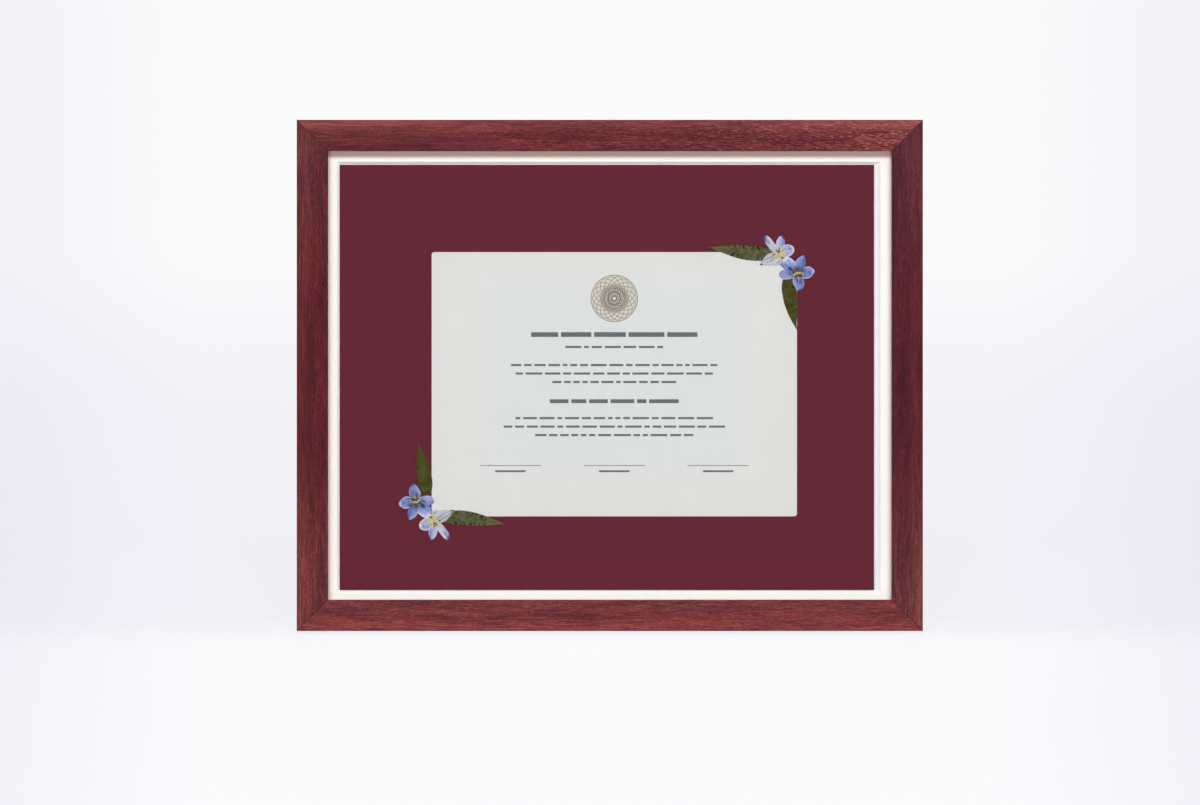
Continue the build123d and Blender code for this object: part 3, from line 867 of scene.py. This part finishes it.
def petal_sheet(petal, chance):
    """One petal along +X, with a wavy rim and its look stored on its points."""
    waves = [chance.uniform(0, math.tau) for _ in range(2)]
    bend = chance.uniform(-petal_bend, petal_bend)
    length = petal.length * MM

    def point_at(share, aside):
        """A point of the petal: wavy at its rim, bent, and lifted towards rim and tip."""
        half = (petal.left if aside > 0 else petal.right) * MM * petal_width(share, petal.widest, petal.tip)
        half *= 1 + rim_wave * math.sin(rim_waves * share + waves[aside > 0]) * abs(aside)
        z = petal_lift * (aside ** 2 * share + 0.3 * math.sin(lift_waves * share + waves[0]))
        return Vector((length * share, aside * half + bend * length * share ** 2, z))

    mesh = thin_sheet(PETAL_ROWS, PETAL_COLUMNS, petal_thickness, point_at)
    looks = {
        "petal_look": (petal.tone, petal.lean, petal.rim),
        "petal_marks": (petal.dark_tip, petal.spot, petal.dry),
        "petal_places": (petal.spot_at, petal.direction / 60, 0),
    }
    for name, values in looks.items():
        layer = mesh.attributes.new(name, "FLOAT_VECTOR", "POINT")
        layer.data.foreach_set("vector", values * len(mesh.vertices))
    return mesh


# %% Petal finishes


def petal_finish(name, pale, middle, deep, dark, heart, heart_reach, rim_white, dry_pale, dry_grey):
    """A dried petal, from pale to deep, with a heart, veins, a spot, a dark tip and a broken white rim."""
    material, shader, place = start_finish(name, Roughness=0.75, Specular_IOR_Level=0.15, Sheen_Weight=0.1)
    across, share, _ = parts_of(wire(place.tree, "ShaderNodeUVMap"))
    tone, lean, rim = parts_of(stored(place, "petal_look", "Vector"))
    dark_tip, spot, dry = parts_of(stored(place, "petal_marks", "Vector"))
    spot_at, own, _ = parts_of(stored(place, "petal_places", "Vector"))
    cloud = noise(place, 0.32, 3, 0.6) - 0.5
    side = across * 2 - 1
    leaning = side * lean * 0.4
    depth = tone + leaning + cloud * 1.5
    colour = blend(between(depth, 0.0, 0.5), pale, middle)
    colour = blend(between(depth, 0.45, 1.0), colour, deep)
    veins = noise(xyz(across * 12, share * 1.2, own), 1, 3)
    colour = blend(between(veins, 0.52, 0.68) * 0.5, colour, deep)
    colour = blend(between(veins, 0.46, 0.32) * 0.45, colour, pale)
    from_heart = (veins - 0.5) * 0.5 + (share + cloud)
    colour = blend(between(from_heart, heart_reach, heart_reach / 3), colour, heart)
    withered = (dry * (cloud + 0.7)).clamped()
    colour = blend(withered, colour, blend(between(veins, 0.42, 0.6), dry_pale, dry_grey))
    from_spot = length_of(xyz((lean * -0.3 + side) / 0.5, (share - spot_at) / 0.24, 0))
    spotted = between(cloud * 1.2 + from_spot, 1.0, 0.3) * spot
    tipped = between(leaning * 0.25 + (cloud * 0.35 + share), 0.76, 0.96) * dark_tip
    colour = blend(spotted.math("MAXIMUM", tipped), colour, dark)
    to_rim = cloud * 0.4 + abs(side).math("MAXIMUM", share)
    rimmed = between(to_rim, 0.78, 0.96) * (rim * (0.85 - side * lean).clamped())
    colour = blend(rimmed * (1 - tipped), colour, rim_white)
    coat(shader, colour, veins + cloud, 0.16, 0.7)
    return material


pale_petal = petal_finish(
    "pale_petal", pale=tint(212, 210, 224), middle=tint(168, 170, 212), deep=tint(112, 122, 186),
    dark=tint(50, 64, 112), heart=tint(196, 188, 158), heart_reach=0.42, rim_white=tint(224, 221, 234),
    dry_pale=tint(206, 201, 206), dry_grey=tint(132, 126, 128),
)
blue_petal = petal_finish(
    "blue_petal", pale=tint(194, 194, 230), middle=tint(126, 140, 204), deep=tint(80, 98, 174),
    dark=tint(42, 56, 108), heart=tint(84, 92, 120), heart_reach=0.55, rim_white=tint(218, 216, 240),
    dry_pale=tint(170, 174, 200), dry_grey=tint(120, 126, 152),
)

# %% [markdown]
# ## Stamens
# In the middle of each flower lies a tuft of stamens: pale threads, with yellow and brown anthers at
# their ends. All of them are the same small grain, stretched, turned outwards and scattered over a disc,
# so one Geometry Nodes tree makes each kind from its size, its number and a fixed seed.

# %% Geometry Nodes: grains scattered on a disc
grain_rise = 0.01
grain_growth = (0.7, 1.15)
grain_tree, grain_in = start_tree("scattered_grains", {
    "Count": "Int", "Inner Radius": "Float", "Outer Radius": "Float", "Grain": "Vector", "Seed": "Int",
    "Finish": "Material",
})


def random_number(low, high, seed):
    """A random number for each point."""
    inputs = {2: low, 3: high, "Seed": seed}
    return wire(seed.tree, "FunctionNodeRandomValue", inputs, 1, data_type="FLOAT")


grain_seed = grain_in["Seed"]
heading = random_number(0.0, math.tau, grain_seed)
spread = random_number(grain_in["Inner Radius"], grain_in["Outer Radius"], grain_seed + 1)
grown = random_number(*grain_growth, grain_seed + 2)
grain_points = wire(grain_tree, "GeometryNodePoints", {
    "Count": grain_in["Count"],
    "Position": xyz(heading.math("COSINE") * spread, heading.math("SINE") * spread, spread * grain_rise),
})
ball = wire(grain_tree, "GeometryNodeMeshIcoSphere", {"Radius": 0.5, "Subdivisions": 2})
grains = wire(grain_tree, "GeometryNodeInstanceOnPoints", {
    "Points": grain_points,
    "Instance": ball,
    "Rotation": xyz(0, 0, heading),
    "Scale": scaled(grain_in["Grain"], grown),
})
finish_tree(grains, grain_in["Finish"])

# %% Stamen finishes


def speckled(name, dark, light, scale, roughness=0.7):
    """A dry speckled surface."""
    material, shader, place = start_finish(name, Roughness=roughness, Specular_IOR_Level=0.25)
    grit = noise(place, scale, 3, 0.6)
    coat(shader, blend(between(grit, 0.35, 0.65), dark, light), grit, 0.03, 0.5)
    return material


stamen_thread = speckled("stamen_thread", tint(152, 142, 98), tint(214, 206, 170), 1.2)
pollen = speckled("pollen", tint(190, 160, 78), tint(236, 222, 158), 4)
brown_anther = speckled("brown_anther", tint(36, 22, 20), tint(98, 58, 44), 4)
olive_anther = speckled("olive_anther", tint(66, 58, 30), tint(136, 104, 48), 3)
grey_thread = speckled("grey_thread", tint(44, 50, 72), tint(92, 98, 126), 3)

# %% [markdown]
# ## Leaves
# The pressed leaves are blunt at the base and drawn out to a tip, and their two halves differ. So each
# half has its own outline, a round base up to its widest place and then an arc, and the leaf is a thin
# solid like a petal. Its finish paints side veins, a dull middle, small dark bites along the rim and a
# painted shadow line round the rim, which need to know how far a point is from the rim, so the mesh
# stores that distance.

# %% Leaf finish and leaf
LEAF_BITES = 14
LEAF_RIBS = 70
LEAF_ROWS = 64
LEAF_COLUMNS = 10
leaf_thickness = 0.14 * MM
leaf_lift = 0.05 * MM
leaf_bluntness = 2.6
leaf_teeth = (0.95, 1.0)


def leaf_finish(name, body, dull, edge, notch, rim_shadow_line, bites):
    """A pressed leaf: olive, duller in the middle, with side veins, small dark bites along the rim and a
    painted shadow line round it.
    """
    material, shader, place = start_finish(name, Roughness=0.7, Specular_IOR_Level=0.15)
    across, share, _ = parts_of(wire(place.tree, "ShaderNodeUVMap"))
    rim = stored(place, "from_rim")
    aside = abs(across * 2 - 1)
    cloud = noise(place, 0.22, 4, 0.65)
    mottle = noise(place, 0.55, 3, 0.6)
    colour = blend(between(cloud, 0.42, 0.58), body, dull)
    ribs = ((aside * -0.16 + share) * LEAF_RIBS).math("SINE")
    colour = blend(between(ribs, 0.8, 1.0) * 0.25, colour, edge)
    colour = blend(between(aside, 0.12, 0.0) * 0.3, colour, edge)
    colour = blend(between(mottle * 4 + rim, 5.0, 2.0) * 0.75, colour, edge)
    colour = blend(between(mottle, 0.45, 0.3) * 0.6, colour, body)
    left_half = across.math("GREATER_THAN", 0.5)
    lane = left_half * 7.3 + 0.4
    wander = noise(xyz(share * 9, lane, 0.3), 1, 2)
    beat = wander * 2.0 + (rim * 0.1 + (share * LEAF_BITES + left_half * 0.4))
    bars = between((beat * math.tau).math("SINE"), -0.2, 0.7)
    bite = noise(xyz(share * LEAF_BITES, lane, 3.6), 1, 1)
    bitten = bars * between(bite * -7.0 + rim, -0.2, -2.8)
    # Painted shadow: a dark line round the rim stands for the leaf's thin shadow on the paper.
    colour = blend(between(rim, 0.7, 0.0) * rim_shadow_line, colour, notch)
    before_tip = between(share, 0.82, 0.6) * bites
    colour = blend(bitten * before_tip, colour, notch)
    coat(shader, colour, ribs * 0.2 + cloud, 0.12, 0.6)
    return material


def leaf_edge(run, length, swell, swell_at, draw):
    """Half width of a leaf's side: a blunt base up to its swell, then an arc drawn out to the tip."""
    if run < swell_at:
        return swell * (1 - (1 - run / swell_at) ** leaf_bluntness) ** (1 / leaf_bluntness)
    reach = length - swell_at
    radius = (reach ** 2 + swell ** 2) / (2 * swell)
    arc = swell - radius + math.sqrt(max(0, radius ** 2 - (run - swell_at) ** 2))
    return arc * (1 - draw * ((run - swell_at) / reach) ** 2)


def pressed_leaf(length, left, right_side, chance):
    """One leaf along +X with a midrib and a toothed rim. It stores the distance from the rim, in mm."""
    teeth = [chance.uniform(*leaf_teeth) for _ in range(2 * (LEAF_ROWS + 1))]
    from_rim = []

    def point_at(share, aside):
        """A point of the leaf, on its midrib or on the faint waves beside it."""
        half = leaf_edge(share * length, length, *(left if aside > 0 else right_side))
        half *= teeth[2 * round(share * LEAF_ROWS) + (aside > 0)]
        from_rim.append(half * (1 - abs(aside)) / MM)
        ridge = (1 - abs(aside)) ** 4
        z = leaf_lift * (ridge + 0.4 * math.sin(40 * share - 5 * abs(aside)) * (1 - ridge))
        return Vector((share * length, aside * half, z))

    mesh = thin_sheet(LEAF_ROWS, LEAF_COLUMNS, leaf_thickness, point_at)
    layer = mesh.attributes.new("from_rim", "FLOAT", "POINT")
    layer.data.foreach_set("value", from_rim * 2)
    return mesh


side_leaf_olive = leaf_finish(
    "side_leaf_olive", tint(66, 68, 26), tint(86, 90, 66), tint(112, 105, 54), tint(24, 22, 2), 0.45, 1.0
)
down_leaf_olive = leaf_finish(
    "down_leaf_olive", tint(45, 45, 4), tint(72, 70, 22), tint(80, 74, 20), tint(26, 24, 2), 0.5, 0.6
)

# %% [markdown]
# ## The two sprays
# Both corners carry the same spray, the lower one turned half round: a pale flower, a blue one that lies
# on it, and a leaf out to each side under them. The CAD flowers have a low boss where the stamens are, so
# the flowers' centres are read from the frame, and the spray's own place and turn follow from those two
# centres.

# %% Sizes of a spray, in millimetres and degrees
pale_petals = [
    Petal(245, 10.5, 4.4, 4.4, 0.48, 0.5, 0.2, 0.0, rim=0.2, dry=0.9),
    Petal(208, 19.8, 5.0, 5.1, 0.40, 1.0, 0.3, -0.5, dark_tip=0.3, dry=1.0),
    Petal(129, 21.5, 2.5, 4.1, 0.62, 0.45, 0.2, 0.9, rim=0.5, dark_tip=0.9, spot=0.5, dry=0.3, spot_at=0.75),
    Petal(81, 17.9, 2.7, 5.1, 0.52, 0.9, 0.6, -0.8, rim=0.5, dark_tip=1.0, spot=0.3, spot_at=0.65),
    Petal(27, 13.9, 5.4, 5.2, 0.55, 0.55, 0.5, 0.3, rim=1.0, spot=0.5, dry=0.1, spot_at=0.78),
]
blue_petals = [
    Petal(182, 17.1, 3.6, 4.6, 0.70, 0.5, 0.4, -0.5, dark_tip=0.5, spot=0.9, dry=0.4, spot_at=0.38),
    Petal(277, 16.3, 5.5, 4.6, 0.45, 1.0, 0.6, 0.5, rim=0.4, dark_tip=1.0, spot=0.5, dry=0.2),
    Petal(10, 14.6, 5.4, 4.9, 0.52, 0.75, 0.6, -0.2, rim=1.0, dark_tip=0.1, spot=0.3, spot_at=0.75),
    Petal(140, 18.6, 6.4, 5.4, 0.60, 0.42, 0.45, 1.0, rim=1.0, spot=1.0, dry=0.2, spot_at=0.42),
    Petal(71, 17.6, 3.4, 5.5, 0.48, 1.0, 0.7, -1.0, rim=0.4, dark_tip=0.9, spot=0.4, spot_at=0.75),
]
petal_step = 0.03 * MM
pale_to_blue = Vector((16.4, -17.0))
# Stamens of each flower: finish, number, inner and outer radius, and the grain's length, width and height
pale_stamens = {
    "threads": (stamen_thread, 46, 0.6, 4.6, (4.4, 0.7, 0.1)),
    "pollen": (pollen, 28, 0.8, 5.4, (1.5, 1.1, 0.14)),
    "anthers": (olive_anther, 9, 2.0, 5.4, (2.6, 1.4, 0.16)),
}
blue_stamens = {
    "threads": (grey_thread, 30, 2.4, 6.4, (5.0, 0.6, 0.08)),
    "pollen": (pollen, 18, 0.6, 5.0, (2.1, 1.2, 0.12)),
    "anthers": (brown_anther, 24, 0.3, 4.6, (1.8, 1.2, 0.15)),
}
PALE_SEED = 3
BLUE_SEED = 103
LEAF_SEED = 10
# The short brown end of a stem that lies on the pale flower's lower left petal: its direction and
# distance from the flower's middle, its own turn, its length, width and height, and how it tapers and
# bends
stub_direction = 209.0
stub_reach = 18.4
stub_turn = 15.0
stub_size = (3.2, 1.1, 0.16)
stub_taper = 0.8
stub_bend = 0.7
# A leaf is its finish, its base, its direction and length, and for its left and right side the swell, the
# swell's place along the leaf, and how far the side is drawn in towards the tip
leaves = {
    "side_leaf": (side_leaf_olive, (-15.0, 10.8), 176.0, 56.4, (9.3, 17.5, 0.5), (4.0, 27.0, 0.5)),
    "down_leaf": (down_leaf_olive, (-0.6, -10.6), -80.7, 49.0, (5.3, 18.0, 1.3), (8.1, 16.5, 0.2)),
}
no_shift = Vector((0, 0, 0))
lower_leaf_shift = Vector((0, 2.2, 0))
lower_flower_shift = Vector((-0.7, -1.3, 0))
boss_flatness = 0.01 * MM

# %% Building a spray


def boss_centre(name):
    """The middle of the low boss on a CAD flower."""
    points = picture_points(name)
    top = max(point.z for point in points)
    low, high = box_of([point for point in points if top - point.z < boss_flatness])
    return (low + high) / 2


def placed(mesh, x, y, z, turn):
    """A flat mesh turned and set down in the picture's axes."""
    mesh.transform(Matrix.Translation((x, y, z)) @ Matrix.Rotation(turn, 4, "Z"))
    return mesh


def stem_stub(name, middle, height, turn):
    """Lays the stem's end on the petal."""
    shape = bmesh.new()
    bmesh.ops.create_icosphere(shape, subdivisions=3, radius=0.5)
    for vertex in shape.verts:
        vertex.co.y = vertex.co.y * (1 - stub_taper * vertex.co.x) + stub_bend * vertex.co.x ** 2
    bmesh.ops.scale(shape, vec=Vector(stub_size) * MM, verts=shape.verts)
    mesh = tidy_mesh(poured(shape, bpy.data.meshes.new("stub")))
    mesh.materials.append(brown_anther)
    heading = turn + math.radians(stub_direction)
    x = middle.x + stub_reach * MM * math.cos(heading)
    y = middle.y + stub_reach * MM * math.sin(heading)
    placed(mesh, x, y, height, turn + math.radians(stub_turn))
    add_piece(name + "_stem_end", mesh)


def flower(name, middle, petals, finish, stamens, turn, seed):
    """All petals of a flower as one piece, and its stamens as others."""
    floor = picture_box(name)[0].z + petal_thickness + petal_lift
    chance = random.Random(seed)
    sheets = []
    for order, petal in enumerate(petals):
        spin = turn + math.radians(petal.direction)
        sheet = tidy_mesh(petal_sheet(petal, chance))
        sheets.append(placed(sheet, middle.x, middle.y, floor + order * petal_step, spin))
    mesh = joined(sheets)
    mesh.materials.append(finish)
    add_piece(name + "_petals", mesh, name)
    for order, (kind, (grain_finish, count, inner, outer, grain)) in enumerate(stamens.items()):
        tuft = run_tree(grain_tree, {
            "Count": count, "Inner Radius": inner * MM, "Outer Radius": outer * MM,
            "Grain": [side * MM for side in grain], "Seed": seed + 10 * order, "Finish": grain_finish,
        })
        placed(tidy_mesh(tuft), middle.x, middle.y, middle.z, turn)
        add_piece(name + "_" + kind, tuft)


def spray(name, leaf_shift, flower_shift):
    """Two flowers and two leaves on one corner of the paper."""
    pale_name = name + "_pale_flower"
    blue_name = name + "_blue_flower"
    pale = boss_centre(pale_name)
    blue = boss_centre(blue_name)
    origin = (pale + blue) / 2
    turn = -pale_to_blue.angle_signed((blue - pale).to_2d())
    pale += flower_shift * MM
    blue += flower_shift * MM
    flower(pale_name, pale, pale_petals, pale_petal, pale_stamens, turn, PALE_SEED)
    petal_top = picture_box(pale_name)[0].z + petal_thickness + 2 * petal_lift + petal_step
    stem_stub(pale_name, pale, petal_top, turn)
    flower(blue_name, blue, blue_petals, blue_petal, blue_stamens, turn, BLUE_SEED)
    chance = random.Random(LEAF_SEED)
    for kind, (finish, base, direction, length, *sides) in leaves.items():
        sides = [(swell * MM, swell_at * MM, draw) for swell, swell_at, draw in sides]
        mesh = tidy_mesh(pressed_leaf(length * MM, *sides, chance))
        mesh.materials.append(finish)
        foot = origin + Matrix.Rotation(turn, 3, "Z") @ Vector((*base, 0)) * MM + leaf_shift * MM
        floor = picture_box(f"{name}_{kind}")[0].z + leaf_thickness + leaf_lift
        placed(mesh, foot.x, foot.y, floor, turn + math.radians(direction))
        add_piece(f"{name}_{kind}_pressed", mesh, f"{name}_{kind}")
    print(name, "turned", round(math.degrees(turn), 1), "degrees")


spray("upper_spray", no_shift, no_shift)
spray("lower_spray", lower_leaf_shift, lower_flower_shift)

# %% [markdown]
# ## Hardware, boards and rubber behind the picture
# The back is hardboard with zinc-plated buttons, screws and nails, a folded steel hinge and two rubber
# bumpers. The CAD shapes are right, so each gets its finish: plated metal with faint mottling and wiping
# marks, hardboard with pressed fibres, and rubber with a fine moulded skin.

# %% Metal, hardboard and rubber finishes


def plated(name, colour, shade, roughness):
    """Plated sheet steel with a cloudy plating and fine rub marks."""
    material, shader, place = start_finish(name, Metallic=1.0)
    cloud = noise(place, 0.5, 4, 0.65)
    rubs = noise(xyz(along(place, right) * 0.25, along(place, up), 0), 6, 2)
    fill(shader.inputs["Roughness"], rubs * 0.25 + roughness)
    coat(shader, blend(between(cloud, 0.3, 0.7), shade, colour), rubs, 0.02, 0.4)
    return material


def fibre_board(name, dark, middle, light):
    """Pressed fibre board: a brown ground with short dark and light fibres lying every way."""
    material, shader, place = start_finish(name, Roughness=0.72, Specular_IOR_Level=0.25)
    cloud = clouds(place, 18)
    dark_hairs = between(noise(place, 0.55, 3, 0.6, 5.0), 0.58, 0.7)
    light_hairs = between(noise(place, 0.8, 3, 0.6, 4.0), 0.62, 0.72)
    body = blend(between(cloud, 0.3, 0.7) * 0.35, middle, light)
    body = blend(dark_hairs * 0.55, body, dark)
    body = blend(light_hairs * 0.5, body, light)
    coat(shader, body, dark_hairs + tooth(place, 2), 0.06, 0.5)
    return material


zinc = plated("zinc_plate", tint(206, 208, 210), tint(170, 172, 176), 0.28)
hinge_metal = plated("hinge_plate", tint(190, 188, 182), tint(150, 148, 142), 0.3)
hardboard = fibre_board("hardboard", tint(78, 54, 34), tint(124, 90, 58), tint(160, 124, 86))
leg_board = fibre_board("leg_board", tint(40, 34, 30), tint(70, 60, 52), tint(96, 84, 72))
foam = paper("foam_board", tint(231, 232, 237), tint(237, 238, 241), 20, 0.08)
tape = paper("paper_tape", tint(226, 222, 206), tint(234, 230, 216), 8, 0.03)
rubber = speckled("moulded_rubber", tint(30, 30, 32), tint(44, 44, 46), 3, 0.6)
buttons_and_screws = [name for name in nodes if name.startswith("turn_button_")]
dress(zinc, *buttons_and_screws, "corner_v_nails", "sawtooth_hanger", "hanger_nails")
dress(hinge_metal, "hinge_fixed_leaf", "hinge_moving_leaf", "hinge_pin")
dress(hinge_metal, "fixed_leaf_rivets", "moving_leaf_rivets")
dress(hardboard, "back_board")
dress(leg_board, "easel_leg")
dress(foam, "mount_board")
dress(tape, "certificate_tape_tabs")
dress(rubber, "wall_bumpers")

# %% [markdown]
# ## Table, light and camera
# The frame stands on a white sweep. The floor is a real surface that takes the object's shadow, lifted to
# white for what the camera sees of it, and far away it runs into a white world. The light is a large
# softbox in front and above, which draws the top rail's shadow on the mat, with weaker ones at the sides
# and behind.

# %% White sweep
# Tones of the sweep in front of the frame, behind it and far away, and how it falls off at the picture's
# sides. The darker tone behind the frame is painted shade, and the fall at the sides is a painted vignette.
sweep_front = tint(250, 250, 252)
sweep_behind_shade = tint(243, 242, 248)
sweep_far = tint(250, 250, 251)
side_vignette_shade = (0.94, 0.935, 0.975, 1)
# Where those tones change: metres behind the frame's foot, and shares of the picture's width from its
# middle
table_run = (-0.07, 0.08)
wall_run = (1.0, 2.4)
side_run = (0.32, 0.52)
# The floor's shadows are soft: only a share of its tone comes from the lamps, which light it about this
# much. That share fades out between two distances from the frame, in metres.
shadow_share = 0.14
usual_light = 0.75
shadow_run = (0.5, 1.5)
bounce_grey = 0.55
room_strength = 0.13
floor_radius = 60.0
FLOOR_SIDES = 96
front_edge = standing @ Vector((centre.x, bottom_low.y, centre.z + moulding_depth))


def grey(level):
    """A colour without a hue."""
    return (level, level, level, 1)


def seen_directly(tree):
    """1 for what the camera sees, straight on or in a mirror or through glass."""
    path = add_node(tree, "ShaderNodeLightPath").outputs
    rays = [Wire(path[f"Is {kind} Ray"]) for kind in ("Camera", "Glossy", "Transmission")]
    return rays[0].math("MAXIMUM", rays[1]).math("MAXIMUM", rays[2])


floor_shape = bmesh.new()
bmesh.ops.create_circle(floor_shape, cap_ends=True, segments=FLOOR_SIDES, radius=floor_radius)
floor = new_object("floor", poured(floor_shape, bpy.data.meshes.new("floor")))

floor_white = bpy.data.materials.new("floor_white")
sweep = empty_tree(floor_white)
floor_place, window = [wire(sweep, "ShaderNodeTexCoord", output=kind) for kind in ("Object", "Window")]
behind = along(floor_place, (0, 1, 0)) - front_edge.y
seen_tone = blend(between(behind, *table_run), sweep_front, sweep_behind_shade)
seen_tone = blend(between(behind, *wall_run), seen_tone, sweep_far)
from_middle = abs(parts_of(window)[0] - 0.5)
seen_tone = blend(between(from_middle, *side_run), seen_tone, side_vignette_shade, "MULTIPLY")
unlit_tone = blend(1.0, seen_tone, grey(usual_light * shadow_share), "SUBTRACT")
lit = wire(sweep, "ShaderNodeBsdfDiffuse", {"Color": grey(shadow_share)})
lift = wire(sweep, "ShaderNodeEmission", {"Color": unlit_tone})
near_floor = wire(sweep, "ShaderNodeAddShader", {0: lit, 1: lift})
far_floor = wire(sweep, "ShaderNodeEmission", {"Color": seen_tone})
seen_floor = mixed(between(length_of(floor_place), *shadow_run), near_floor, far_floor)
bounce = wire(sweep, "ShaderNodeBsdfDiffuse", {"Color": grey(bounce_grey)})
floor_mix = mixed(seen_directly(sweep), bounce, seen_floor)
add_node(sweep, "ShaderNodeOutputMaterial", {"Surface": floor_mix})
floor.data.materials.append(floor_white)

world = bpy.data.worlds.new("white room")
room = empty_tree(world)
room_light = wire(room, "ShaderNodeBackground", {"Color": grey(1), "Strength": room_strength})
room_white = wire(room, "ShaderNodeBackground", {"Color": sweep_far})
room_mix = mixed(seen_directly(room), room_light, room_white)
add_node(room, "ShaderNodeOutputWorld", {"Surface": room_mix})
bpy.context.scene.world = world
print("floor", floor_radius, "m in radius, room light", room_strength)

# %% Softboxes
face_centre = standing @ Vector((centre.x, centre.y, centre.z + moulding_depth - outer_drop))
# A softbox is its degrees above and to the side of the picture's own axis, its distance, width and
# height, and its power
softboxes = {
    "top_softbox": (38, 0, 12.0, 10.0, 3.0, 912),
    "left_softbox": (1, -20, 2.4, 0.5, 0.8, 9.9),
    "right_softbox": (1, 20, 2.4, 0.5, 0.8, 10.3),
    "back_softbox": (42, 180, 3.0, 2.0, 1.0, 17),
}
for name, (above, aside, distance, width, height, power) in softboxes.items():
    lamp = bpy.data.lights.new(name, "AREA")
    lamp.shape = "RECTANGLE"
    lamp.size = width
    lamp.size_y = height
    lamp.energy = power
    raised = Matrix.Rotation(-math.radians(above), 3, right) @ out
    towards = Matrix.Rotation(math.radians(aside), 3, up) @ raised
    softbox = new_object(name, lamp)
    softbox.location = face_centre + towards * distance
    softbox.rotation_euler = (-towards).to_track_quat("-Z", "Y").to_euler()
    print(name, power, "W at", distance, "m")

# %% Camera, square to the leaning picture
IMAGE_WIDTH = 1200
IMAGE_HEIGHT = 805
frame_centre_pixel = (609.8, 375.4)
pixel = 0.884 * MM
camera_distance = 5.0
camera = bpy.data.cameras.new("camera")
camera.sensor_width = 36.0
camera.lens = camera.sensor_width * camera_distance / (IMAGE_WIDTH * pixel)
camera_object = new_object("camera", camera)
aim = face_centre + right * (IMAGE_WIDTH / 2 - frame_centre_pixel[0]) * pixel
aim += up * (frame_centre_pixel[1] - IMAGE_HEIGHT / 2) * pixel
camera_object.location = aim + out * camera_distance
camera_object.rotation_euler = standing.to_euler()
bpy.context.scene.camera = camera_object
bpy.context.scene.view_settings.view_transform = "Standard"
print("camera", round(camera.lens, 1), "mm lens at", camera_distance, "m")
